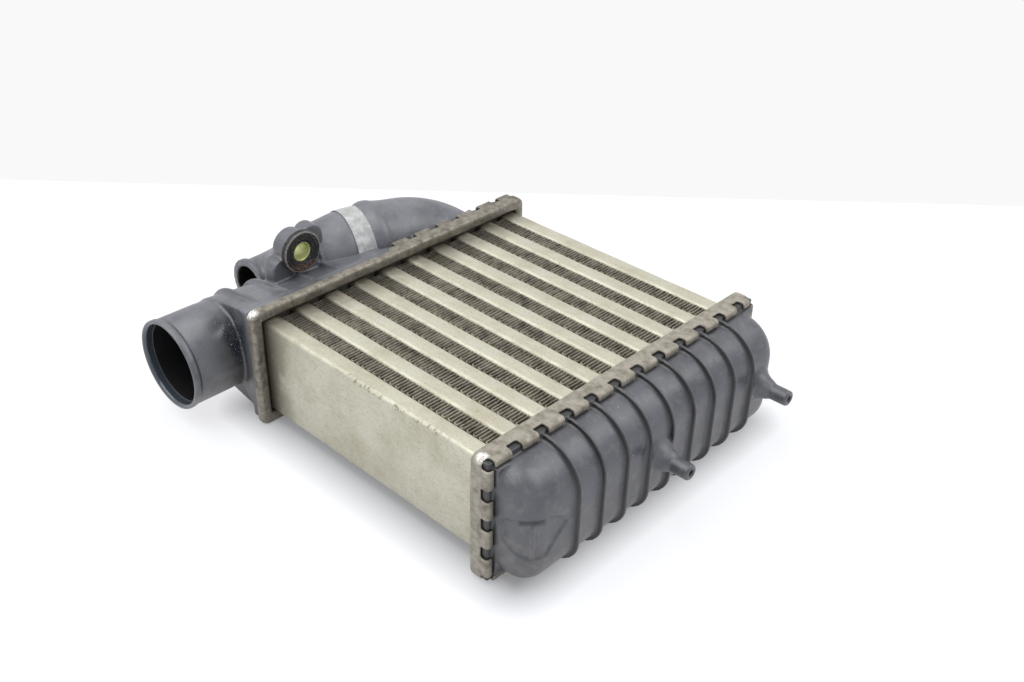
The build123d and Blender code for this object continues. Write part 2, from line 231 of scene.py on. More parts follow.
def prism(
    bm: bmesh.types.BMesh, points: list[Vector], radii: dict[int, float], reach: Vector, segments: int = 10,
) -> list:
    """Extrudes a rounded outline into a closed solid.

    Args:
        bm: The mesh to build in.
        points: Corners of the outline, in metres.
        radii: Corner radius in metres by the corner's place.
        reach: The extrusion, in metres.
        segments: Flats in each rounded corner.

    Returns:
        The solid's faces.
    """
    before = set(bm.faces)
    base = outline_face(bm, points, radii, segments)
    grown = bmesh.ops.extrude_face_region(bm, geom=base, use_keep_orig=True)
    bmesh.ops.translate(bm, verts=picked(grown, bmesh.types.BMVert), vec=reach)
    faces = [face for face in bm.faces if face not in before]
    bmesh.ops.recalc_face_normals(bm, faces=faces)
    return faces


def spun(bm: bmesh.types.BMesh, profile: list[Vector], centre: Vector, axis: Vector, steps: int) -> list:
    """Turns an open profile fully about an axis.

    Args:
        bm: The mesh to build in.
        profile: Points of the profile, in metres, in one plane with the axis.
        centre: A point on the axis.
        axis: The axis direction.
        steps: Flats round the full turn.

    Returns:
        The faces made.
    """
    before = set(bm.faces)
    verts = [bm.verts.new(point) for point in profile]
    edges = [bm.edges.new(pair) for pair in zip(verts, verts[1:])]
    bmesh.ops.spin(
        bm, geom=verts + edges, cent=centre, axis=axis, angle=math.tau, steps=steps,
        use_merge=True, use_duplicate=False,
    )
    faces = [face for face in bm.faces if face not in before]
    near = list({vert for face in faces for vert in face.verts})
    bmesh.ops.remove_doubles(bm, verts=near, dist=SPUN_SEAM)
    faces = [face for face in bm.faces if face not in before]
    bmesh.ops.recalc_face_normals(bm, faces=faces)
    return faces


def frame_along(direction: Vector, point: Vector) -> Matrix:
    """Gives the matrix that stands a piece's own Z along a direction at a point."""
    turn = direction.to_track_quat("Z", "Y").to_matrix().to_4x4()
    return Matrix.Translation(point) @ turn


def swept_rings(bm: bmesh.types.BMesh, rings: list[tuple[Vector, float]], steps: int) -> tuple[list, list]:
    """Builds an open round tube through rings of given centres and radii.

    Args:
        bm: The mesh to build in.
        rings: Each ring's centre and radius, in metres.
        steps: Flats round each ring.

    Returns:
        The edges of the first ring, and of the last.
    """
    loops = []
    for index, (centre, radius) in enumerate(rings):
        before = rings[max(index - 1, 0)][0]
        after = rings[min(index + 1, len(rings) - 1)][0]
        made = bmesh.ops.create_circle(
            bm, cap_ends=False, segments=steps, radius=radius, matrix=frame_along(after - before, centre),
        )
        loops.append(list({edge for vert in made["verts"] for edge in vert.link_edges}))
    for near, far in zip(loops, loops[1:]):
        bmesh.ops.bridge_loops(bm, edges=near + far)
    return loops[0], loops[-1]


def smooth_route(points: list[tuple[Vector, float]], steps: int) -> list[tuple[Vector, float]]:
    """Rounds a chain of centres and radii with a cubic curve through every point.

    Args:
        points: Centres and radii in order.
        steps: New points for each stretch.

    Returns:
        The finer chain, ends included.
    """
    rows = [Vector((*centre, radius)) for centre, radius in points]
    rows = [2 * rows[0] - rows[1], *rows, 2 * rows[-1] - rows[-2]]
    fine = []
    for k in range(1, len(rows) - 2):
        a, b, c, d = rows[k - 1 : k + 3]
        for step in range(steps):
            t = step / steps
            row = 2 * b + (c - a) * t
            row = row + (2 * a - 5 * b + 4 * c - d) * t**2
            row = row + (3 * b - a - 3 * c + d) * t**3
            fine.append(row / 2)
    fine.append(rows[-2])
    return [(row.to_3d(), row[3]) for row in fine]


def eased(value: float, low: float, high: float) -> float:
    """Rises smoothly from 0 at low to 1 at high; low may be the larger of the two."""
    share = min(1.0, max(0.0, (value - low) / (high - low)))
    return share * share * (3 - 2 * share)


def edge_distance(outline: tuple[tuple[float, float], ...], x: float, y: float) -> float:
    """Gives a point's distance to an outline, negative inside it.

    Args:
        outline: The outline's corners in order.
        x: The point's first coordinate, in the outline's unit.
        y: The point's second coordinate.

    Returns:
        The distance, in the same unit.
    """
    least, inside = math.inf, False
    for (x0, y0), (x1, y1) in zip(outline, (*outline[1:], outline[0])):
        span = (x1 - x0) ** 2 + (y1 - y0) ** 2
        share = min(1.0, max(0.0, ((x - x0) * (x1 - x0) + (y - y0) * (y1 - y0)) / span))
        least = min(least, math.hypot(x - x0 - share * (x1 - x0), y - y0 - share * (y1 - y0)))
        if (y0 > y) != (y1 > y) and x < (x1 - x0) * (y - y0) / (y1 - y0) + x0:
            inside = not inside
    return -least if inside else least


def mark(piece: bpy.types.Object, name: str, values: list[float]) -> None:
    """Stores a value from 0 to 1 for each vertex, which the piece's finish reads by name."""
    attribute = piece.data.attributes.new(name, "FLOAT", "POINT")
    attribute.data.foreach_set("value", values)


def merged_copy(node: bpy.types.Object) -> bmesh.types.BMesh:
    """Copies a frame node's mesh with its loose triangles joined and its flats made whole.

    Args:
        node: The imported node's object.

    Returns:
        A new bmesh, which the caller frees.
    """
    bm = bmesh.new()
    bm.from_mesh(node.data)
    bmesh.ops.remove_doubles(bm, verts=bm.verts, dist=SOLID_SEAM)
    return bm


def moulded(bm: bmesh.types.BMesh, voxel: float, passes: int, most_triangles: int) -> bmesh.types.BMesh:
    """Fuses overlapping closed solids into one skin with soft moulded corners.

    Args:
        bm: The solids; it is freed.
        voxel: Grid size in millimetres.
        passes: Smoothing passes, each of which rounds corners a little more.
        most_triangles: The most triangles that the skin may have.

    Returns:
        The fused skin.
    """
    rough = bpy.data.meshes.new("mould")
    bm.to_mesh(rough)
    bm.free()
    block = bpy.data.objects.new("mould", rough)
    bpy.context.scene.collection.objects.link(block)
    remesh = block.modifiers.new("grid", "REMESH")
    remesh.mode = "VOXEL"
    remesh.voxel_size = voxel * MM
    soften = block.modifiers.new("soften", "SMOOTH")
    soften.factor = SOFTENING
    soften.iterations = passes
    bpy.context.view_layer.update()
    evaluated = block.evaluated_get(bpy.context.evaluated_depsgraph_get())
    quads = len(evaluated.data.polygons)
    if 2 * quads > most_triangles:
        thin = block.modifiers.new("thin", "DECIMATE")
        thin.ratio = most_triangles / (2 * quads)
        bpy.context.view_layer.update()
        evaluated = block.evaluated_get(bpy.context.evaluated_depsgraph_get())
    skin = bmesh.new()
    skin.from_mesh(evaluated.data)
    bpy.data.objects.remove(block)
    bpy.data.meshes.remove(rough)
    return skin


# ---- Finishes -----------------------------------------------------------------------

# Where a value starts to count and where it counts in full, then the least and most it gives.
Range = tuple[float, ...]

# What a vector operation gives where its result is one number.
NUMBER_OPERATIONS = ("DISTANCE", "DOT_PRODUCT", "LENGTH")


@dataclass(frozen=True)
class Pattern:
    """A noise pattern: the size of its features in millimetres, and its layers' count and strength."""

    size_mm: float
    detail: float
    roughness: float


def linear(hex_colour: str) -> tuple[float, float, float, float]:
    """Turns an sRGB hex colour such as "c9c5b4" to linear RGBA."""
    channels = [int(hex_colour[k : k + 2], 16) / 255 for k in (0, 2, 4)]
    return (*[c / 12.92 if c <= 0.04045 else ((c + 0.055) / 1.055) ** 2.4 for c in channels], 1.0)


def add_node(
    tree: bpy.types.NodeTree, kind: str, settings: dict | None = None, inputs: dict | None = None,
) -> bpy.types.Node:
    """Adds a shader node with its settings, values and links.

    Args:
        tree: The material's node tree.
        kind: The node's type.
        settings: Properties of the node by name.
        inputs: A value, or a socket to link, by the input's name or place.

    Returns:
        The node.
    """
    node = tree.nodes.new(kind)
    for key, value in (settings or {}).items():
        setattr(node, key, value)
    for key, value in (inputs or {}).items():
        if isinstance(value, bpy.types.NodeSocket):
            tree.links.new(value, node.inputs[key])
        else:
            node.inputs[key].default_value = value
    return node


def noise_node(
    tree: bpy.types.NodeTree, coords: bpy.types.NodeSocket, pattern: Pattern,
) -> bpy.types.NodeSocket:
    """Adds a noise pattern.

    Args:
        tree: The material's node tree.
        coords: The places to read it at, in metres.
        pattern: Its size and make-up.

    Returns:
        Its strength, from 0 to 1.
    """
    scale = 1.0 / (pattern.size_mm * MM)
    inputs = {"Vector": coords, "Scale": scale, "Detail": pattern.detail, "Roughness": pattern.roughness}
    return add_node(tree, "ShaderNodeTexNoise", {}, inputs).outputs["Fac"]


def ranged(
    tree: bpy.types.NodeTree, value: bpy.types.NodeSocket, start: float, stop: float,
    low: float = 0.0, high: float = 1.0,
) -> bpy.types.NodeSocket:
    """Maps a value that runs from start to stop onto low to high, held at both ends."""
    inputs = {"Value": value, "From Min": start, "From Max": stop, "To Min": low, "To Max": high}
    return add_node(tree, "ShaderNodeMapRange", {}, inputs).outputs["Result"]


def ranged_past(
    tree: bpy.types.NodeTree, value: bpy.types.NodeSocket, place_mm: float, start_mm: float, stop_mm: float,
) -> bpy.types.NodeSocket:
    """Rises from 0 to 1 between two distances past a place on an axis, all in millimetres."""
    return ranged(tree, value, (place_mm + start_mm) * MM, (place_mm + stop_mm) * MM)


def product(
    tree: bpy.types.NodeTree, first: bpy.types.NodeSocket, second: bpy.types.NodeSocket,
) -> bpy.types.NodeSocket:
    """Multiplies two values."""
    return add_node(tree, "ShaderNodeMath", {"operation": "MULTIPLY"}, {0: first, 1: second}).outputs[0]


def larger(
    tree: bpy.types.NodeTree, first: bpy.types.NodeSocket, second: bpy.types.NodeSocket,
) -> bpy.types.NodeSocket:
    """Gives the larger of two values."""
    return add_node(tree, "ShaderNodeMath", {"operation": "MAXIMUM"}, {0: first, 1: second}).outputs[0]


def vector_math(
    tree: bpy.types.NodeTree, operation: str, first: bpy.types.NodeSocket, second: object = None,
) -> bpy.types.NodeSocket:
    """Works on one or two vectors.

    Args:
        tree: The material's node tree.
        operation: The operation's name.
        first: The first vector.
        second: The second, a socket or a value, where the operation takes one.

    Returns:
        The result, a number for a length, a distance or a dot product.
    """
    inputs = {0: first} if second is None else {0: first, 1: second}
    node = add_node(tree, "ShaderNodeVectorMath", {"operation": operation}, inputs)
    return node.outputs["Value"] if operation in NUMBER_OPERATIONS else node.outputs[0]


def axes(tree: bpy.types.NodeTree, coords: bpy.types.NodeSocket) -> tuple[bpy.types.NodeSocket, ...]:
    """Splits a place into its X, Y and Z."""
    return tuple(add_node(tree, "ShaderNodeSeparateXYZ", {}, {0: coords}).outputs)


def marked(tree: bpy.types.NodeTree, name: str) -> bpy.types.NodeSocket:
    """Reads a value that a piece marks on its vertices, 0 where it marks none."""
    return add_node(tree, "ShaderNodeAttribute", {"attribute_name": name}).outputs["Fac"]


def blend(
    tree: bpy.types.NodeTree, share: bpy.types.NodeSocket, first: object, second: object,
) -> bpy.types.NodeSocket:
    """Mixes two colours, each a socket or a hex colour, by a share of the second."""
    first, second = (linear(colour) if isinstance(colour, str) else colour for colour in (first, second))
    return add_node(tree, "ShaderNodeMix", {"data_type": "RGBA"}, {0: share, 6: first, 7: second}).outputs[2]


def raise_relief(
    tree: bpy.types.NodeTree, shader: bpy.types.Node, height: bpy.types.NodeSocket,
    relief: tuple[float, float],
) -> None:
    """Adds a pattern's relief over any relief that the shader already has.

    Args:
        tree: The material's node tree.
        shader: The shader to give it to.
        height: The pattern.
        relief: Its strength, and its depth in millimetres.
    """
    strength, depth_mm = relief
    inputs = {"Strength": strength, "Distance": depth_mm * MM, "Height": height}
    under = shader.inputs["Normal"].links
    if under:
        inputs["Normal"] = under[0].from_socket
    bump = add_node(tree, "ShaderNodeBump", {}, inputs)
    tree.links.new(bump.outputs["Normal"], shader.inputs["Normal"])


@dataclass(frozen=True)
class Finish:
    """A material's name, base colours, gloss and relief; each finish paints its own pattern."""

    name: str
    base: str
    worn: str
    dirt: str
    roughness: float
    metallic: float = 0.0
    gloss: Range = (0.3, 0.7, -0.1, 0.1)
    relief: tuple[float, float] = (0.3, 0.2)

    def make(self) -> bpy.types.Material:
        """Builds the material.

        Returns:
            The finished material.
        """
        material = bpy.data.materials.new(self.name)
        material.use_nodes = True
        tree = material.node_tree
        shader = tree.nodes["Principled BSDF"]
        shader.inputs["Metallic"].default_value = self.metallic
        shader.inputs["Roughness"].default_value = self.roughness
        coords = add_node(tree, "ShaderNodeTexCoord").outputs["Object"]
        tree.links.new(self.paint(tree, coords, shader), shader.inputs["Base Color"])
        return material

    def paint(
        self, tree: bpy.types.NodeTree, coords: bpy.types.NodeSocket, shader: bpy.types.Node,
    ) -> bpy.types.NodeSocket:
        """Lays the finish's gloss and relief on its shader, and returns its colour."""
        raise NotImplementedError

    def uneven_gloss(self, tree: bpy.types.NodeTree, pattern: bpy.types.NodeSocket) -> bpy.types.NodeSocket:
        """Spreads the roughness about the finish's own, as a pattern runs."""
        start, stop, less, more = self.gloss
        return ranged(tree, pattern, start, stop, self.roughness + less, self.roughness + more)


@dataclass(frozen=True)
class BrazedTube(Finish):
    """Brazed aluminium sheet: a dull warm skin of dried flux with stains, flecks and rub marks."""

    gloss: Range = (0.3, 0.7, -0.1, 0.12)
    relief: tuple[float, float] = (0.25, 0.2)
    rub_relief: tuple[float, float] = (0.18, 0.15)
    rubbed: str = "d9d5c6"
    port_darkening: str = "5c564a"
    bared: str = "6f6a58"
    blotch: Pattern = Pattern(24.0, 6.0, 0.62)
    fleck: Pattern = Pattern(1.6, 4.0, 0.7)
    rub: Pattern = Pattern(0.9, 3.0, 0.5)
    chip: Pattern = Pattern(2.6, 5.0, 0.7)
    rub_stretch: tuple[float, float, float] = (0.12, 1.0, 1.0)
    stains: Range = (0.42, 0.72)
    rubs: Range = (0.5, 0.78, 0.0, 0.3)
    flecks: Range = (0.54, 0.72, 0.0, 0.62)
    header_x_mm: float = 0.0
    darkening_reach_mm: tuple[float, float] = (24.0, 2.0)
    darkening_patches: Range = (0.3, 0.5, 0.35, 1.0)
    edge_y_mm: float = 0.0
    edge_z_mm: float = 0.0
    chipped_across_mm: tuple[float, float] = (3.2, 1.2)
    chipped_down_mm: tuple[float, float] = (-3.4, -1.4)
    chipped_along_mm: tuple[float, float] = (72.0, 146.0)
    chipped_fade_mm: float = 12.0
    chips: Range = (0.54, 0.61, 0.0, 0.8)

    def paint(
        self, tree: bpy.types.NodeTree, coords: bpy.types.NodeSocket, shader: bpy.types.Node,
    ) -> bpy.types.NodeSocket:
        """Mixes stains, flecks, rub marks along the tube, darker patches towards the port header and a
        chipped edge.

        Args:
            tree: The material's node tree.
            coords: Places in the frame's coordinates.
            shader: The shader to dress.

        Returns:
            The colour.
        """
        blotch = noise_node(tree, coords, self.blotch)
        fleck = noise_node(tree, coords, self.fleck)
        stretched = add_node(tree, "ShaderNodeMapping", {}, {"Vector": coords, "Scale": self.rub_stretch})
        rub = noise_node(tree, stretched.outputs["Vector"], self.rub)
        skin = blend(tree, ranged(tree, blotch, *self.stains), self.base, self.worn)
        light = blend(tree, ranged(tree, rub, *self.rubs), skin, self.rubbed)
        specked = blend(tree, ranged(tree, fleck, *self.flecks), light, self.dirt)

        x, y, z = axes(tree, coords)
        # Darker in patches towards the port header.
        near_port = ranged_past(tree, x, self.header_x_mm, *self.darkening_reach_mm)
        port_darkening = product(tree, near_port, ranged(tree, blotch, *self.darkening_patches))
        darkened = blend(tree, port_darkening, specked, self.port_darkening)

        edge_y = ranged_past(tree, y, self.edge_y_mm, *self.chipped_across_mm)
        edge_z = ranged_past(tree, z, self.edge_z_mm, *self.chipped_down_mm)
        first, last = (self.header_x_mm + along for along in self.chipped_along_mm)
        starts = ranged_past(tree, x, first, -self.chipped_fade_mm, 0.0)
        stops = ranged_past(tree, x, last, self.chipped_fade_mm, 0.0)
        edge = product(tree, product(tree, edge_y, edge_z), product(tree, starts, stops))
        chipped = product(tree, edge, ranged(tree, noise_node(tree, coords, self.chip), *self.chips))

        tree.links.new(self.uneven_gloss(tree, blotch), shader.inputs["Roughness"])
        raise_relief(tree, shader, rub, self.rub_relief)
        raise_relief(tree, shader, fleck, self.relief)
        return blend(tree, chipped, darkened, self.bared)


@dataclass(frozen=True)
class FinSheet(Finish):
    """Thin brazed fin sheet: dusty brown-grey, with a painted highlight along the folds' top edges."""

    port_darkening: str = "4a453c"
    dust: Pattern = Pattern(7.0, 5.0, 0.65)
    patches: Range = (0.36, 0.64)
    # Painted highlight: over their top few millimetres the fins take the lighter worn colour, in patches, and
    # they stay darker below.
    crest_height_mm: float = 0.0
    crest_highlight_mm: float = 1.6
    rubs: Range = (0.3, 0.55, 0.35, 1.0)
    header_x_mm: float = 0.0
    darkening_reach_mm: tuple[float, float] = (30.0, 6.0)
    darkening_patches: Range = (0.34, 0.56, 0.3, 0.95)

    def paint(
        self, tree: bpy.types.NodeTree, coords: bpy.types.NodeSocket, shader: bpy.types.Node,
    ) -> bpy.types.NodeSocket:
        """Mixes dust patches, a painted highlight on the folds' top edges along the core's upper face, and
        darker patches towards the port header.

        Args:
            tree: The material's node tree.
            coords: Places in the frame's coordinates.
            shader: The shader to dress.

        Returns:
            The colour.
        """
        x, _, z = axes(tree, coords)
        dust = noise_node(tree, coords, self.dust)
        deep = blend(tree, ranged(tree, dust, *self.patches), self.dirt, self.base)
        # Painted highlight along the fins' top edges, fading downwards.
        crest_highlight = ranged_past(tree, z, self.crest_height_mm, -self.crest_highlight_mm, 0.0)
        crest_lit = blend(tree, product(tree, crest_highlight, ranged(tree, dust, *self.rubs)), deep, self.worn)
        near_port = ranged_past(tree, x, self.header_x_mm, *self.darkening_reach_mm)
        port_darkening = product(tree, near_port, ranged(tree, dust, *self.darkening_patches))
        raise_relief(tree, shader, dust, self.relief)
        return blend(tree, port_darkening, crest_lit, self.port_darkening)


@dataclass(frozen=True)
class PressedSheet(Finish):
    """Pressed, brazed header sheet: grey-beige skin, pitted and grimy, bright where it was knocked."""

    gloss: Range = (0.35, 0.7, -0.12, 0.2)
    relief: tuple[float, float] = (0.4, 0.3)
    bright: str = "efece6"
    grime: Pattern = Pattern(6.0, 7.0, 0.66)
    pits: Pattern = Pattern(1.1, 4.0, 0.7)
    darkened: Range = (0.42, 0.66)
    rubs: Range = (0.58, 0.72, 0.0, 0.5)
    knock_at: tuple[float, float, float] = (0.0, 0.0, 0.0)
    knock_mm: float = 5.0
    knock_core: float = 0.5
    scrapes: Range = (0.4, 0.52)

    def paint(
        self, tree: bpy.types.NodeTree, coords: bpy.types.NodeSocket, shader: bpy.types.Node,
    ) -> bpy.types.NodeSocket:
        """Mixes grime, bright rubbed spots, fine pits and one knocked corner.

        Args:
            tree: The material's node tree.
            coords: Places in the frame's coordinates.
            shader: The shader to dress.

        Returns:
            The colour.
        """
        grime = noise_node(tree, coords, self.grime)
        pits = noise_node(tree, coords, self.pits)
        skin = blend(tree, ranged(tree, grime, *self.darkened), self.base, self.dirt)
        rubbed = blend(tree, ranged(tree, pits, *self.rubs), skin, self.worn)
        reach = vector_math(tree, "DISTANCE", coords, self.knock_at)
        near = ranged_past(tree, reach, 0.0, self.knock_mm, self.knock_core * self.knock_mm)
        knocked = product(tree, near, ranged(tree, pits, *self.scrapes))
        tree.links.new(self.uneven_gloss(tree, grime), shader.inputs["Roughness"])
        raise_relief(tree, shader, pits, self.relief)
        return blend(tree, knocked, rubbed, self.bright)


@dataclass(frozen=True)
class MouldedNylon(Finish):
    """Glass-filled nylon, injection moulded: satin charcoal with a fine grain, dust and oil, with painted
    shade and painted glints.
    """

    gloss: Range = (0.3, 0.7, -0.06, 0.1)
    relief: tuple[float, float] = (0.25, 0.12)
    specular: float = 0.8
    slick: float = 0.16
    smeared: str = "7c7b7a"
    speckled: str = "a9a59c"
    # Painted shade: the near-black laid where a piece marks shade.
    painted_shade: str = "131315"
    oily: str = "15171d"
    # Painted glints: pale bluish specks laid in the wet oil for its highlights.
    painted_glint: str = "9aa0b0"
    polished: str = "3a4149"
    cloud: Pattern = Pattern(30.0, 7.0, 0.6)
    smear: Pattern = Pattern(6.0, 5.0, 0.7)
    grain: Pattern = Pattern(0.7, 2.0, 0.5)
    speck: Pattern = Pattern(1.6, 1.0, 0.5)
    glint_speck: Pattern = Pattern(0.8, 3.0, 0.6)
    haze: Range = (0.4, 0.66)
    smears: Range = (0.5, 0.72, 0.0, 0.35)
    specks: Range = (0.785, 0.82, 0.0, 0.7)
    dust_height_mm: tuple[float, float] = (45.0, 5.0)
    dust_patches: Range = (0.36, 0.56, 0.3, 0.9)
    oil_patches: Range = (0.35, 0.6, 0.75, 1.0)
    glint_specks: Range = (0.6, 0.7)
    wet_enough: Range = (0.7, 0.98)

    def paint(
        self, tree: bpy.types.NodeTree, coords: bpy.types.NodeSocket, shader: bpy.types.Node,
    ) -> bpy.types.NodeSocket:
        """Mixes worn clouds, dust low down, pale specks, the marked painted shade, oil and polish, and
        painted glints in the wet oil.

        Args:
            tree: The material's node tree.
            coords: Places in the frame's coordinates.
            shader: The shader to dress.

        Returns:
            The colour.
        """
        cloud = noise_node(tree, coords, self.cloud)
        smear = noise_node(tree, coords, self.smear)
        haze = ranged(tree, cloud, *self.haze)
        clean = blend(tree, haze, self.base, self.worn)
        skin = blend(tree, ranged(tree, smear, *self.smears), clean, self.smeared)
        low = ranged_past(tree, axes(tree, coords)[2], 0.0, *self.dust_height_mm)
        dust = product(tree, product(tree, low, haze), ranged(tree, smear, *self.dust_patches))
        dusted = blend(tree, dust, skin, self.dirt)
        pale = ranged(tree, noise_node(tree, coords, self.speck), *self.specks)
        specked = blend(tree, pale, dusted, self.speckled)

        # Painted shade where the piece marks it.
        shade_laid = blend(tree, marked(tree, "shade_and_grime"), specked, self.painted_shade)
        wet = product(tree, marked(tree, "oil"), ranged(tree, cloud, *self.oil_patches))
        oiled = blend(tree, wet, shade_laid, self.oily)
        # Painted glints: pale specks where the oil is wettest.
        flecks = ranged(tree, noise_node(tree, coords, self.glint_speck), *self.glint_specks)
        glint_speck = product(tree, ranged(tree, wet, *self.wet_enough), flecks)
        glint_laid = blend(tree, glint_speck, oiled, self.painted_glint)
        polish = marked(tree, "polish")

        shader.inputs["Specular IOR Level"].default_value = self.specular
        shine, dull = larger(tree, wet, polish), self.uneven_gloss(tree, cloud)
        slick = add_node(tree, "ShaderNodeMix", {"data_type": "FLOAT"}, {0: shine, 2: dull, 3: self.slick})
        tree.links.new(slick.outputs[0], shader.inputs["Roughness"])
        raise_relief(tree, shader, noise_node(tree, coords, self.grain), self.relief)
        return blend(tree, polish, glint_laid, self.polished)


@dataclass(frozen=True)
class BushRubber(Finish):
    """Old rubber on a fixing bush: black and speckled, lighter grey in patches round its rim, and rusty
    below.
    """

    relief: tuple[float, float] = (0.5, 0.4)
    rusty: str = "7d6254"
    speck: Pattern = Pattern(1.0, 4.0, 0.7)
    specks: Range = (0.54, 0.64, 0.0, 0.75)
    axis_at: tuple[float, float, float] = (0.0, 0.0, 0.0)
    rim_mm: float = 12.6
    rim_starts_mm: tuple[float, float] = (-0.5, 0.0)
    rim_stops_mm: tuple[float, float] = (0.9, 0.4)
    rim_patches: Range = (0.38, 0.5)
    rust_height_mm: tuple[float, float] = (-6.0, -11.0)
    rust_patches: Range = (0.44, 0.56)

    def paint(
        self, tree: bpy.types.NodeTree, coords: bpy.types.NodeSocket, shader: bpy.types.Node,
    ) -> bpy.types.NodeSocket:
        """Mixes specks, lighter grey patches round the rim, and its rusty lower side.

        Args:
            tree: The material's node tree.
            coords: Places in the frame's coordinates.
            shader: The shader to dress.

        Returns:
            The colour.
        """
        offset = vector_math(tree, "SUBTRACT", coords, self.axis_at)
        radius = vector_math(tree, "LENGTH", vector_math(tree, "MULTIPLY", offset, (0, 1, 1)))
        specks = noise_node(tree, coords, self.speck)
        speckled = blend(tree, ranged(tree, specks, *self.specks), self.base, self.dirt)
        starts = ranged_past(tree, radius, self.rim_mm, *self.rim_starts_mm)
        stops = ranged_past(tree, radius, self.rim_mm, *self.rim_stops_mm)
        rim = product(tree, product(tree, starts, stops), ranged(tree, specks, *self.rim_patches))
        rim_lightened = blend(tree, rim, speckled, self.worn)
        below = ranged_past(tree, axes(tree, offset)[2], 0.0, *self.rust_height_mm)
        rust = product(tree, below, ranged(tree, specks, *self.rust_patches))
        raise_relief(tree, shader, specks, self.relief)
        return blend(tree, rust, rim_lightened, self.rusty)


@dataclass(frozen=True)
class MattePlain(Finish):
    """A quiet moulded, plated or wrapped surface: one colour with grime and a fine grain."""

    grime: Pattern = Pattern(3.0, 5.0, 0.68)
    darkened: Range = (0.44, 0.68)
    grime_share: float = 0.6
    edge_grime: Range = (0.35, 0.6, 0.4, 0.9)

    def paint(
        self, tree: bpy.types.NodeTree, coords: bpy.types.NodeSocket, shader: bpy.types.Node,
    ) -> bpy.types.NodeSocket:
        """Mixes grime over the colour, and a darker edge where the piece marks one.

        Args:
            tree: The material's node tree.
            coords: Places in the frame's coordinates.
            shader: The shader to dress.

        Returns:
            The colour.
        """
        grime = noise_node(tree, coords, self.grime)
        skin = blend(tree, ranged(tree, grime, *self.darkened, 0.0, self.grime_share), self.base, self.dirt)
        edge = product(tree, marked(tree, "shade_and_grime"), ranged(tree, grime, *self.edge_grime))
        raise_relief(tree, shader, grime, self.relief)
        return blend(tree, edge, skin, self.dirt)


# ---- Core: tubes and fins -----------------------------------------------------------


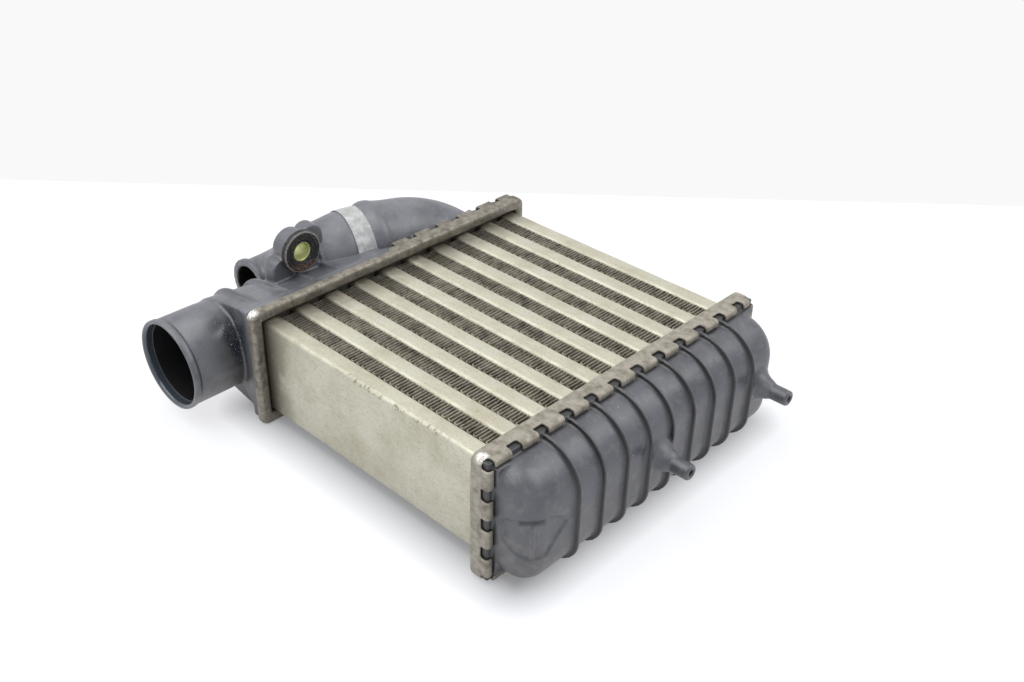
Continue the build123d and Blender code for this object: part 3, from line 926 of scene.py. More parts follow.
@dataclass
class Core:
    """Flat tubes stacked across the core, with a folded fin row between each two."""

    frame: CoreFrame
    tube_count: int = 10
    tube_pitch: float = 21.9
    tube_height: float = 12.0
    tube_wall: float = 0.8
    tube_corner: float = 2.6
    corner_segments: int = 5
    core_depth: float = 62.0
    tube_reach: float = 96.8
    dent: float = 0.16
    dent_length: float = 22.0
    dent_across: float = 3.0
    dent_up: float = 0.6
    dent_sideways: float = 0.6
    cuts: int = 30
    fin_spacing: float = 2.265
    fin_height: float = 9.9
    fin_sheet: float = 0.2
    fin_crest: float = 0.6
    fin_inset: float = 0.6
    fin_end_gap: float = 1.2
    fin_stretches: tuple[float, ...] = (0.45, 0.45, 0.1)
    fin_sway: float = 0.45
    fin_sway_sizes: tuple[float, float, float] = (9.0, 40.0, 90.0)
    fin_wrinkle: float = 0.22
    fin_wrinkle_size: float = 2.2
    fin_phases: float = 50.0
    sharp_angle: float = 50.0

    def tube_centre(self, number: int) -> float:
        """Gives a tube's place across the stack, in millimetres."""
        return (number - 1 - (self.tube_count - 1) / 2) * self.tube_pitch

    def make_tube(self, number: int, finish: bpy.types.Material) -> bpy.types.Object:
        """Draws a flat tube with rounded edges and slight waves from handling.

        Args:
            number: The tube's number, from the large port's side.
            finish: Its material.

        Returns:
            The tube, which stands for its node.
        """
        bm = bmesh.new()
        y, half_height, half_depth = self.tube_centre(number), self.tube_height / 2, self.core_depth / 2
        corners = [(-1, -1), (1, -1), (1, 1), (-1, 1)]
        points = [
            self.frame.inside(-self.tube_reach, y + side * half_height, up * half_depth)
            for side, up in corners
        ]
        radii = {k: self.tube_corner * MM for k in range(4)}
        ring = outline_face(bm, points, radii, self.corner_segments)
        bmesh.ops.inset_region(
            bm, faces=ring, thickness=self.tube_wall * MM, use_even_offset=True, use_boundary=True,
        )
        bmesh.ops.delete(bm, geom=ring, context="FACES_ONLY")
        grown = bmesh.ops.extrude_face_region(bm, geom=bm.faces[:], use_keep_orig=True)
        through = Vector((2 * self.tube_reach * MM, 0, 0))
        bmesh.ops.translate(bm, verts=picked(grown, bmesh.types.BMVert), vec=through)
        long_edges = [e for e in bm.edges if abs(e.verts[0].co.x - e.verts[1].co.x) > self.tube_reach * MM]
        bmesh.ops.subdivide_edges(bm, edges=long_edges, cuts=self.cuts)
        for vert in bm.verts:
            place = Vector((vert.co.x, vert.co.y * self.dent_across, vert.co.z * self.dent_up))
            wave = noise.noise(place / (self.dent_length * MM))
            vert.co.z += wave * self.dent * MM
            vert.co.y += wave * self.dent * MM * self.dent_sideways
        bmesh.ops.recalc_face_normals(bm, faces=bm.faces)
        sharpen(bm, self.sharp_angle)
        piece = new_piece(f"flat_tube_{number}", bm, finish)
        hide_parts(f"tube_{number}")
        return piece

    def make_fin_row(self, number: int, finish: bpy.types.Material) -> bpy.types.Object:
        """Folds a fin row: one fold is drawn, repeated along the row, and given its thickness.

        Args:
            number: The row's number, from the large port's side.
            finish: Its material.

        Returns:
            The row, which stands for its node.
        """
        bm = bmesh.new()
        y = self.tube_centre(number) + self.tube_pitch / 2
        half = (self.fin_height - self.fin_sheet) / 2
        reach = 2 * self.frame.half_length / MM - 2 * self.fin_end_gap
        folds = int(reach / (2 * self.fin_spacing))
        start = -folds * self.fin_spacing
        low = -self.core_depth / 2 + self.fin_inset
        wall = self.fin_spacing
        fold = [(0.0, -half), (0.0, half), (wall, half), (wall, -half), (2 * wall, -half)]
        verts = [bm.verts.new(self.frame.inside(start + x, y + across, low)) for x, across in fold]
        for pair in zip(verts, verts[1:]):
            bm.edges.new(pair)
        bmesh.ops.bevel(
            bm, geom=verts[1:4], offset=self.fin_crest * MM, offset_type="OFFSET", segments=2,
            profile=0.5, affect="VERTICES", material=-1,
        )
        period = bm.verts[:] + bm.edges[:]
        for k in range(1, folds):
            copy = bmesh.ops.duplicate(bm, geom=period)
            shift = Vector((2 * wall * k * MM, 0, 0))
            bmesh.ops.translate(bm, verts=picked(copy, bmesh.types.BMVert), vec=shift)
        bmesh.ops.remove_doubles(bm, verts=bm.verts, dist=FOLD_SEAM)
        depth = (self.core_depth - 2 * self.fin_inset) * MM
        sheet = bm.edges[:]
        for share in self.fin_stretches:
            grown = bmesh.ops.extrude_edge_only(bm, edges=sheet)
            rise = Vector((0, 0, share * depth))
            bmesh.ops.translate(bm, verts=picked(grown, bmesh.types.BMVert), vec=rise)
            sheet = [
                edge for edge in picked(grown, bmesh.types.BMEdge)
                if abs(edge.verts[0].co.z - edge.verts[1].co.z) < LEVEL
            ]
        draw = random.Random(number)
        phase = draw.uniform(0, self.fin_phases)
        along, across, up = (size * MM for size in self.fin_sway_sizes)
        for vert in bm.verts:
            rel = vert.co - self.frame.middle
            sway = noise.noise(Vector((rel.x / along + phase, rel.y / across, rel.z / up)))
            wrinkle = noise.noise(Vector((rel.x / (self.fin_wrinkle_size * MM), phase, rel.z / up)))
            near = abs(rel.z) / (self.core_depth / 2 * MM)
            vert.co.x += (self.fin_sway * sway + self.fin_wrinkle * wrinkle) * near * MM
        bmesh.ops.solidify(bm, geom=bm.faces[:], thickness=self.fin_sheet * MM)
        bmesh.ops.recalc_face_normals(bm, faces=bm.faces)
        sharpen(bm, self.sharp_angle)
        piece = new_piece(f"folded_fins_{number}", bm, finish)
        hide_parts(f"fin_row_{number}")
        return piece

    def build(self, tube_finish: bpy.types.Material, fin_finish: bpy.types.Material) -> None:
        """Builds every tube and fin row.

        Args:
            tube_finish: The tubes' material.
            fin_finish: The fin rows' material.
        """
        for number in range(1, self.tube_count + 1):
            self.make_tube(number, tube_finish)
        for number in range(1, self.tube_count):
            self.make_fin_row(number, fin_finish)


# ---- Headers ------------------------------------------------------------------------


@dataclass
class Header:
    """A pressed tray whose slit edge is folded over the tank's foot."""

    side: Side
    frame: CoreFrame
    node: bpy.types.Object
    bar_width: float = 6.4
    tab_reach: float = 3.0
    sink: float = 1.3
    sink_slope: float = 0.36
    sink_starts: tuple[float, float] = (-1.6, 0.4)
    sunk_until_y: float = -2.0
    sink_fade: float = 3.0
    wave: tuple[float, float] = (14.0, 0.22)
    ripple: tuple[float, float] = (3.0, 0.06)
    voxel: float = 0.62
    passes: int = 3
    most_triangles: int = 150000

    def sink_tabs(self, bm: bmesh.types.BMesh) -> None:
        """Presses the tabs below the port tank's skirt, so that the rim stands as a round bar.

        Args:
            bm: The header's mesh.
        """
        half_height, half_width = self.frame.half_height / MM, self.frame.half_width / MM
        start, stop = (self.bar_width + past for past in self.sink_starts)
        for vert in bm.verts:
            place = self.frame.measured(vert.co)
            out = self.frame.outward(Side.PORT, place)
            depth = self.sink + self.sink_slope * max(0.0, out - self.bar_width)
            depth *= eased(out, start, stop)
            depth *= eased(place.y, self.sunk_until_y, self.sunk_until_y - self.sink_fade)
            if place.z > half_height - self.tab_reach:
                vert.co.z -= depth * MM
            if place.y < self.tab_reach - half_width:
                vert.co.y += depth * MM

    def build(self, finish: bpy.types.Material) -> bpy.types.Object:
        """Softens the pressing's bends and knocks its edges about.

        Args:
            finish: Its material.

        Returns:
            The header, which stands for its node.
        """
        bm = moulded(merged_copy(self.node), self.voxel, self.passes, self.most_triangles)
        if self.side is Side.PORT:
            self.sink_tabs(bm)
        for vert in bm.verts:
            wave, ripple = (
                noise.noise_vector(vert.co / (size * MM)) * height * MM
                for size, height in (self.wave, self.ripple)
            )
            vert.co += wave + ripple
        piece = new_piece(f"pressed_{self.node.name}", bm, finish)
        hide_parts(self.node.name)
        return piece


# ---- Tanks --------------------------------------------------------------------------


@dataclass
class ReturnTank:
    """The moulded tank at the return end, with ribs and two location pegs."""

    frame: CoreFrame
    base: float = 6.6
    depth: float = 36.9
    half_width: float = 107.9
    half_height: float = 34.35
    top_radius: float = 23.5
    bottom_radius: float = 16.5
    end_radius: float = 13.0
    section_segments: int = 14
    end_segments: int = 8
    shoulder_out: float = 14.9
    foot_out: float = 12.0
    foot_base: float = 3.5
    foot_inset: float = 1.65
    rib_width: float = 2.2
    rib_height: float = 2.7
    rib_places: tuple[float, ...] = tuple(2.8 + 19.0 * (k - 5) for k in range(1, 10))
    peg_places: tuple[float, float] = (-6.7, 88.3)
    peg_reach: float = 21.8
    peg_steps: int = 40
    shield: tuple[tuple[float, float], ...] = (
        (0.7, 2.7), (3.0, -7.0), (10.6, -10.6), (19.2, -13.5), (29.5, -13.9), (36.4, -6.4),
        (44.9, 0.0), (38.0, 6.5), (29.4, 10.8), (20.8, 11.8), (12.9, 10.7), (5.0, 7.5),
    )
    shield_height: tuple[float, float] = (-18.0, 16.0)
    recess: float = 1.1
    recess_edge: tuple[float, float] = (-0.5, 0.9)
    lens_middle: float = 21.0
    lens_half: float = 8.5
    lens_top: float = 11.3
    lens_sag: float = 1.6
    lens_depth: float = 1.2
    lens_ends: tuple[float, float] = (1.0, 0.75)
    lens_lower: tuple[float, float] = (-3.6, -2.2)
    lens_upper: tuple[float, float] = (0.3, -0.6)
    keel_middle: float = 20.9
    keel_sides: tuple[float, float] = (1.7, 0.9)
    keel_top: tuple[float, float] = (8.0, 6.0)
    keel_rise: float = 0.9
    ring_middle: tuple[float, float] = (5.3, -1.6)
    ring_radius: float = 1.7
    ring_sides: tuple[float, float] = (0.9, 0.2)
    ring_rise: float = 0.7
    end_y: float = -74.0
    # Painted shade, laid as colour: the ribs' near flanks, the notches, the lens and the shield's outline are
    # darkened where shade falls.
    flank_shade: float = 0.95
    flank_least: float = 0.6
    flank_reach: tuple[float, float] = (3.4, 1.4)
    flank_rib: tuple[float, float] = (-0.3, 0.6)
    flank_turn: tuple[float, float] = (-0.1, 0.5)
    notch_shade: float = 0.9
    notch_depth: tuple[float, float] = (-0.4, -1.4)
    lens_shade: float = 0.55
    outline_shade: float = 0.18
    outline_width: tuple[float, float] = (1.1, 0.2)
    voxel: float = 0.72
    passes: int = 4
    most_triangles: int = 185000

    def section(self, grow: float, base: float) -> tuple[list[Vector], dict[int, float]]:
        """Gives the tank's section, square to Y, at the middle of the core.

        Args:
            grow: Growth outwards, in millimetres.
            base: Where the section starts, out from the rim face.

        Returns:
            The corners, and the corner radii by place.
        """
        high, deep = self.half_height + grow, self.depth + grow
        corners = [(base, -high), (deep, -high), (deep, high), (base, high)]
        points = [self.frame.at(Side.RETURN, out, 0, z) for out, z in corners]
        return points, {1: (self.bottom_radius + grow) * MM, 2: (self.top_radius + grow) * MM}

    def slab(self, bm: bmesh.types.BMesh, grow: float, base: float, y: float, width: float) -> list:
        """Adds a length of the tank's section to a mesh, centred on y.

        Args:
            bm: The mesh to build in.
            grow: Growth outwards, in millimetres.
            base: Where the section starts, out from the rim face.
            y: The middle of the length, across the stack.
            width: The length.

        Returns:
            The slab's faces.
        """
        points, radii = self.section(grow, base)
        shift = Vector((0, (y - width / 2) * MM, 0))
        reach = Vector((0, width * MM, 0))
        return prism(bm, [point + shift for point in points], radii, reach, self.section_segments)

    def add_body(self, bm: bmesh.types.BMesh) -> None:
        """Adds the body, its two ends rounded over, and the square stretch beside the header.

        Args:
            bm: The mesh to build in.
        """
        faces = self.slab(bm, 0, self.base, 0, 2 * self.half_width)
        base_x = self.frame.at(Side.RETURN, self.base, 0, 0).x
        ends = [face for face in faces if abs(face.normal.y) > 0.99]
        rims = [
            edge for face in ends for edge in face.edges
            if (edge.verts[0].co.x + edge.verts[1].co.x) / 2 > base_x + 0.1 * MM
        ]
        bmesh.ops.bevel(
            bm, geom=rims, offset=self.end_radius * MM, offset_type="OFFSET", segments=self.end_segments,
            profile=0.5, affect="EDGES", material=-1, clamp_overlap=True,
        )
        self.box(bm, (self.base, self.shoulder_out), self.half_width, self.half_height)

    def box(self, bm: bmesh.types.BMesh, outs: tuple[float, float], wide: float, high: float) -> None:
        """Adds a block centred across and up, between two places out from the rim face.

        Args:
            bm: The mesh to build in.
            outs: The two places, in millimetres.
            wide: Half its width.
            high: Half its height.
        """
        near, far = outs
        corners = [(-wide, -high), (wide, -high), (wide, high), (-wide, high)]
        points = [self.frame.at(Side.RETURN, near, y, z) for y, z in corners]
        prism(bm, points, {}, Vector(((far - near) * MM, 0, 0)))

    def add_ribs(self, bm: bmesh.types.BMesh) -> None:
        """Adds the stiffening ribs, each starting between two tabs."""
        for y in self.rib_places:
            self.slab(bm, self.rib_height, self.foot_out, y, self.rib_width)

    def add_peg(self, bm: bmesh.types.BMesh, y: float) -> None:
        """Adds a location peg: a flared root that runs down to a pin with a blind hole.

        Args:
            bm: The mesh to build in.
            y: The peg's place across the stack, in millimetres.
        """
        tip = self.depth + self.peg_reach
        outline = [
            (self.depth - 3, 0.0), (self.depth - 3, 12.5), (self.depth + 0.3, 11.0),
            (self.depth + 2.6, 8.6), (self.depth + 5.5, 6.9), (self.depth + 9.0, 5.6),
            (self.depth + 10.5, 4.75), (tip - 0.8, 4.7), (tip, 3.9), (tip, 2.1),
            (tip - 8, 2.0), (tip - 8, 0.0),
        ]
        profile = [self.frame.at(Side.RETURN, out, y + radius, 0) for out, radius in outline]
        spun(bm, profile, self.frame.at(Side.RETURN, 0, y, 0), Vector((1, 0, 0)), self.peg_steps)

    def along_corner(self, place: Vector) -> float:
        """Gives the distance round the near upright corner, from the square stretch beside the header.

        Args:
            place: A place in millimetres from the core's middle.

        Returns:
            The distance in millimetres.
        """
        out = self.frame.outward(Side.RETURN, place)
        bend_out, bend_y = self.depth - self.end_radius, self.end_radius - self.half_width
        flat = bend_out - self.shoulder_out
        if out < bend_out:
            return out - self.shoulder_out
        if place.y > bend_y:
            return flat + self.end_radius * math.pi / 2 + place.y - bend_y
        return flat + self.end_radius * math.atan2(out - bend_out, bend_y - place.y)

    def lens(self, along: float, z: float) -> float:
        """Gives the depth of the lens-shaped cut over the shield, as a share from 0 to 1.

        Args:
            along: Distance round the corner, in millimetres.
            z: Up from the core's middle.

        Returns:
            The share of the full depth.
        """
        span = (along - self.lens_middle) / self.lens_half
        upper = self.lens_top - self.lens_sag * span * span
        lower_edge = eased(z, *(upper + past for past in self.lens_lower))
        upper_edge = eased(z, *(upper + past for past in self.lens_upper))
        return eased(abs(span), *self.lens_ends) * lower_edge * upper_edge

    def press_end(self, bm: bmesh.types.BMesh) -> None:
        """Presses the shield-shaped recess with its lens, keel and ring into the near corner.

        Args:
            bm: The tank's skin.
        """
        bm.normal_update()
        low, high = self.shield_height
        ring_along, ring_z = self.ring_middle
        shoulder_x = self.frame.half_length / MM + self.shoulder_out
        moves = []
        for vert in bm.verts:
            place = self.frame.measured(vert.co)
            if place.y > self.end_y or not low < place.z < high or place.x < shoulder_x:
                continue
            along = self.along_corner(place)
            inside = -edge_distance(self.shield, along, place.z)
            push = self.recess * eased(inside, *self.recess_edge)
            push += self.lens_depth * self.lens(along, place.z)
            keel = eased(abs(along - self.keel_middle), *self.keel_sides) * eased(place.z, *self.keel_top)
            keel *= eased(inside, 0.0, 1.0)
            ring_gap = math.hypot(along - ring_along, place.z - ring_z) - self.ring_radius
            ring = eased(abs(ring_gap), *self.ring_sides)
            moves.append((vert, vert.normal * (self.keel_rise * keel + self.ring_rise * ring - push) * MM))
        for vert, move in moves:
            vert.co += move

    def shade_and_grime(self, piece: bpy.types.Object) -> list[float]:
        """Gives the painted shade on the ribs' near flanks, most where they face -Y, in the notch, the lens
        and the shield's outline.

        Args:
            piece: The tank.

        Returns:
            A value from 0 to 1 for each vertex.
        """
        values = []
        for vert in piece.data.vertices:
            place = self.frame.measured(vert.co)
            gap = min(self.rib_places, key=lambda y: abs(y - place.y)) - place.y
            flank = eased(gap, *self.flank_reach) * eased(gap, *self.flank_rib)
            facing = max(eased(-vert.normal.y, *self.flank_turn), self.flank_least)
            out = self.frame.outward(Side.RETURN, place)
            notch = eased(out, *(self.shoulder_out + past for past in self.notch_depth))
            lens = outline = 0.0
            if place.y < self.end_y:
                along = self.along_corner(place)
                lens = self.lens(along, place.z)
                outline = eased(abs(edge_distance(self.shield, along, place.z)), *self.outline_width)
            values.append(max(
                self.flank_shade * flank * facing, self.notch_shade * notch,
                self.lens_shade * lens, self.outline_shade * outline,
            ))
        return values

    def build(self, finish: bpy.types.Material) -> bpy.types.Object:
        """Fuses the tank's forms into one moulded skin.

        Args:
            finish: Its material.

        Returns:
            The tank, which stands for its node.
        """
        bm = bmesh.new()
        self.add_body(bm)
        self.add_ribs(bm)
        for y in self.peg_places:
            self.add_peg(bm, y)
        wide = self.frame.half_width / MM - self.foot_inset
        high = self.frame.half_height / MM - self.foot_inset
        self.box(bm, (self.foot_base, self.foot_out), wide, high)
        skin = moulded(bm, self.voxel, self.passes, self.most_triangles)
        self.press_end(skin)
        piece = new_piece("moulded_return_tank", skin, finish)
        # Marks the painted shade on the tank.
        mark(piece, "shade_and_grime", self.shade_and_grime(piece))
        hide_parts("return_tank")
        return piece


@dataclass
class PortTank:
    """The moulded tank at the port end: ribbed nose, large port, fixing eye, lobe and bent duct."""

    frame: CoreFrame
    node: bpy.types.Object
    duct_rings: tuple[tuple[float, float, float, float], ...] = (
        (86.0, -57.0, 2.4, 16.0),
        (86.0, -49.0, 2.5, 16.0),
        (83.6, -42.8, 4.0, 16.2),
        (77.5, -38.9, 8.0, 16.6),
        (70.5, -36.2, 12.5, 17.4),
        (64.0, -34.6, 17.2, 20.2),
        (58.6, -32.3, 21.1, 22.0),
        (55.3, -29.0, 23.4, 22.1),
        (52.6, -24.5, 24.7, 22.3),
        (50.6, -17.0, 25.0, 23.6),
        (48.9, -10.0, 25.2, 24.8),
        (47.0, -2.5, 25.4, 24.9),
        (45.1, 5.3, 25.6, 25.1),
        (44.3, 8.6, 25.7, 26.8),
        (43.5, 12.0, 25.8, 27.3),
        (42.7, 15.3, 25.9, 26.7),
        (41.9, 18.6, 25.9, 25.3),
        (40.9, 25.0, 25.0, 25.1),
        (39.1, 36.0, 23.4, 25.1),
        (36.6, 47.0, 20.4, 25.1),
        (32.6, 57.8, 15.8, 25.0),
        (28.0, 67.0, 9.5, 24.8),
        (24.0, 75.5, 2.5, 24.0),
        (20.5, 82.0, -5.0, 22.0),
    )
    duct_wall: float = 3.1
    ring_steps: int = 48
    trimmed_until: float = 24.0
    trim_from_mouth: float = 5.0
    trim_reach: float = 5.0
    trim_margin: float = 2.0
    trim_full: float = 0.6
    lobe: tuple[float, float, float, float] = (38.3, 10.0, -39.5, 8.5)
    lobe_rise: tuple[float, float] = (30.0, 57.0)
    lobe_round: float = 0.98
    skirt_out: tuple[float, float] = (5.6, 30.0)
    skirt_drop: float = 0.5
    skirt_depth: float = 6.0
    skirt_until: float = -2.0
    skirt_meets_wall: float = -107.6
    skirt_meets_flat: float = 31.4
    skirt_foot: float = -20.0
    route_steps: int = 4
    port_out: float = 43.6
    mouth_y: float = -145.5
    lip_radius: float = 28.3
    bore_radius: float = 25.4
    pipe_radius: float = 27.75
    lead_in: float = 5.4
    lining_outside: float = 30.0
    lining_inside: float = 36.0
    lining_steps: int = 96
    # Painted shade, laid as colour: the large port's bore and groove, the inside of the duct, the port's root
    # and a notch are darkened where shade falls.
    bore_shade_radius: tuple[float, float] = (27.0, 26.6)
    bore_shade_fade: float = 0.3
    groove_shade: float = 0.8
    groove_front: tuple[float, float] = (3.6, 4.3)
    groove_back: tuple[float, float] = (5.7, 5.1)
    groove_floor: tuple[float, float] = (26.9, 27.1)
    polish_radius: tuple[float, float] = (27.9, 27.5)
    polish_fade: float = 0.4
    duct_shade_gap: float = 1.9
    root_shade: float = 0.75
    root_deep: tuple[float, float] = (21.0, 33.0)
    root_height: tuple[float, float] = (22.0, -8.0)
    root_across: tuple[float, float] = (-100.0, -104.0)
    notch_shade: float = 0.9
    notch_out: tuple[float, float] = (14.4, 13.6)
    notch_across: tuple[float, float] = (-3.0, 1.0)
    leak_at: tuple[float, float, float] = (21.0, -112.0, 16.0)
    leak_reach: tuple[float, float] = (26.0, 10.0)
    leak_ragged: float = 5.0
    sharp_angle: float = 50.0
    voxel: float = 0.8
    passes: int = 3
    most_triangles: int = 170000

    def route(self) -> list[tuple[Vector, float]]:
        """Gives the duct's centres and radii, in metres, along its smooth bend."""
        chain = [(self.frame.at(Side.PORT, out, y, z), radius * MM) for out, y, z, radius in self.duct_rings]
        return smooth_route(chain, self.route_steps)

    def route_finder(self, route: list[tuple[Vector, float]]) -> KDTree:
        """Sorts the route's centres, so that the nearest one to a point is found fast.

        Args:
            route: Centres and radii in order.

        Returns:
            The finder, which gives a centre's place in the route.
        """
        tree = KDTree(len(route))
        for index, (centre, _) in enumerate(route):
            tree.insert(centre, index)
        tree.balance()
        return tree

    def add_duct(self, bm: bmesh.types.BMesh) -> None:
        """Adds the duct's pipe, its wall open at both ends.

        Args:
            bm: The mesh to build in.
        """
        route = self.route()
        outer = swept_rings(bm, route, self.ring_steps)
        inner = swept_rings(bm, [(at, radius - self.duct_wall * MM) for at, radius in route], self.ring_steps)
        for outer_rim, inner_rim in zip(outer, inner):
            partners = {vert for edge in inner_rim for vert in edge.verts}
            for edge in outer_rim:
                first, second = edge.verts
                back, front = (
                    min(partners, key=lambda other: (other.co - vert.co).length_squared)
                    for vert in (first, second)
                )
                bm.faces.new((first, second, front, back))
        bmesh.ops.recalc_face_normals(bm, faces=bm.faces[:])

    def add_lobe(self, bm: bmesh.types.BMesh) -> None:
        """Adds the round-topped lobe on the duct beside the eye.

        Args:
            bm: The mesh to build in.
        """
        out, length, y, radius = self.lobe
        low, high = self.lobe_rise
        corners = [(y - radius, low), (y + radius, low), (y + radius, high), (y - radius, high)]
        points = [self.frame.at(Side.PORT, out + length, across, up) for across, up in corners]
        radii = {2: self.lobe_round * radius * MM, 3: self.lobe_round * radius * MM}
        prism(bm, points, radii, Vector((length * MM, 0, 0)))

    def add_skirt(self, bm: bmesh.types.BMesh) -> None:
        """Adds the sloping plastic that covers the port header's tabs beside the large port.

        Args:
            bm: The mesh to build in.
        """
        near, far = self.skirt_out
        top = self.frame.half_height / MM - self.skirt_drop
        edge = self.skirt_drop - self.frame.half_width / MM
        deep, wall, back = self.skirt_depth, self.skirt_meets_wall, self.skirt_until
        corner = [(near, edge, top), (far, wall, self.skirt_meets_flat)]
        over = [
            (near, edge, top - deep), (near, back, top), (near, back, top - deep),
            (far, back, self.skirt_meets_flat),
        ]
        beside = [
            (near, edge, deep - top), (near, edge + deep, top), (near, edge + deep, deep - top),
            (far, wall, self.skirt_foot),
        ]
        for places in (corner + over, corner + beside):
            verts = [bm.verts.new(self.frame.at(Side.PORT, *place)) for place in places]
            hull = bmesh.ops.convex_hull(bm, input=verts)
            bmesh.ops.recalc_face_normals(bm, faces=picked(hull, bmesh.types.BMFace))

    def trim_to_route(self, bm: bmesh.types.BMesh) -> None:
        """Draws the mitred elbow and neck in to the duct's smooth outside.

        Args:
            bm: The tank's skin.
        """
        route = self.route()
        finder = self.route_finder(route)
        last_y = self.frame.middle.y + self.trimmed_until * MM
        mouth_y = self.frame.middle.y + (self.duct_rings[0][1] + self.trim_from_mouth) * MM
        for vert in bm.verts:
            if not mouth_y < vert.co.y < last_y:
                continue
            _, index, gap = finder.find(vert.co)
            centre, radius = route[index]
            if gap > radius + (self.trim_reach + self.trim_margin) * MM:
                continue
            last_centre, _ = route[max(index - 1, 0)]
            next_centre, next_radius = route[min(index + 1, len(route) - 1)]
            tangent = (next_centre - last_centre).normalized()
            ahead = (vert.co - centre).dot(tangent)
            share = max(-0.5, min(0.5, ahead / max((next_centre - centre).length, LEVEL)))
            radius += (next_radius - radius) * share
            spoke = vert.co - centre - tangent * ahead
            excess = spoke.length - radius
            if excess > 0:
                kept = excess * eased(excess / MM, self.trim_full * self.trim_reach, self.trim_reach)
                vert.co -= spoke.normalized() * (excess - kept)

    def add_port_lining(self, bm: bmesh.types.BMesh) -> None:
        """Adds the large port's crisp lip, groove, lead-in and bore over the soft moulding.

        Args:
            bm: The tank's skin.
        """
        lip, bore, pipe, lead_in = self.lip_radius, self.bore_radius, self.pipe_radius, self.lead_in
        outline = [
            (pipe, self.lining_outside), (pipe, 5.6), (pipe - 0.4, 5.2), (pipe - 0.7, 4.6), (pipe - 0.4, 4.1),
            (lip, 3.7), (lip + 0.1, 3.0), (lip + 0.1, 0.8), (lip - 0.15, 0.2), (lip - 0.6, 0.0),
            (lip - 1.0, 0.1),
            (bore + 0.15, lead_in), (bore - 0.25, lead_in + 0.3), (bore - 0.25, self.lining_inside),
        ]
        profile = [
            self.frame.at(Side.PORT, self.port_out - radius, self.mouth_y + deep, 0)
            for radius, deep in outline
        ]
        axis_at = self.frame.at(Side.PORT, self.port_out, 0, 0)
        spun(bm, profile, axis_at, Vector((0, 1, 0)), self.lining_steps)

    def port_shade(self, deep: float, radius: float) -> float:
        """Gives the soot in the large port's bore and in the groove behind its lip.

        Args:
            Gives the painted shade in the large port's bore and in the groove behind its lip.
            radius: Distance from the port's axis.

        Returns:
            A value from 0 to 1.
        """
        bore = eased(deep, self.lead_in, self.lead_in + self.bore_shade_fade)
        groove = self.groove_shade * eased(deep, *self.groove_front) * eased(deep, *self.groove_back)
        return max(bore * eased(radius, *self.bore_shade_radius), groove * eased(radius, *self.groove_floor))

    def shade_oil_and_polish(self, piece: bpy.types.Object) -> dict[str, list[float]]:
        """Gives painted shade in the ports, inside the duct, at the large port's root and in a notch, oil,
        and the polished mouth.

        Args:
            piece: The tank.

        Returns:
            Values from 0 to 1 for each vertex, by the name that the finish reads.
        """
        rows = []
        route = self.route()
        finder = self.route_finder(route)
        leak = self.frame.at(Side.PORT, *self.leak_at)
        for vert in piece.data.vertices:
            place = self.frame.measured(vert.co)
            out = self.frame.outward(Side.PORT, place)
            radius = math.hypot(out - self.port_out, place.z)
            deep = place.y - self.mouth_y
            shade_and_grime = self.port_shade(deep, radius)
            _, index, gap = finder.find(vert.co)
            # Painted shade over the whole inside of the duct.
            if gap < route[index][1] - self.duct_shade_gap * MM:
                shade_and_grime = 1.0
            root = self.root_shade * eased(deep, *self.root_deep)
            root *= eased(place.z, *self.root_height) * eased(place.y, *self.root_across)
            notch = self.notch_shade * eased(out, *self.notch_out) * eased(place.y, *self.notch_across)
            ragged = self.leak_ragged * noise.noise(vert.co / (self.leak_ragged * MM))
            oil = eased((vert.co - leak).length / MM + ragged, *self.leak_reach)
            polish = eased(deep, self.lead_in, self.lead_in - self.polish_fade)
            rows.append((max(shade_and_grime, root, notch), oil, polish * eased(radius, *self.polish_radius)))
        return dict(zip(("shade_and_grime", "oil", "polish"), (list(column) for column in zip(*rows))))

    def build(self, finish: bpy.types.Material) -> bpy.types.Object:
        """Fuses the moulding's forms into one soft-cornered skin.

        Args:
            finish: Its material.

        Returns:
            The tank, which stands for its node.
        """
        extras = bmesh.new()
        self.add_duct(extras)
        self.add_lobe(extras)
        self.add_skirt(extras)
        bm = merged_copy(self.node)
        joined = bpy.data.meshes.new("extras")
        extras.to_mesh(joined)
        extras.free()
        bm.from_mesh(joined)
        bpy.data.meshes.remove(joined)
        skin = moulded(bm, self.voxel, self.passes, self.most_triangles)
        self.trim_to_route(skin)
        self.add_port_lining(skin)
        sharpen(skin, self.sharp_angle)
        piece = new_piece("moulded_port_tank", skin, finish)
        for name, values in self.shade_oil_and_polish(piece).items():
            mark(piece, name, values)
        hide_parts("port_tank")
        return piece


# ---- Bush and band ------------------------------------------------------------------


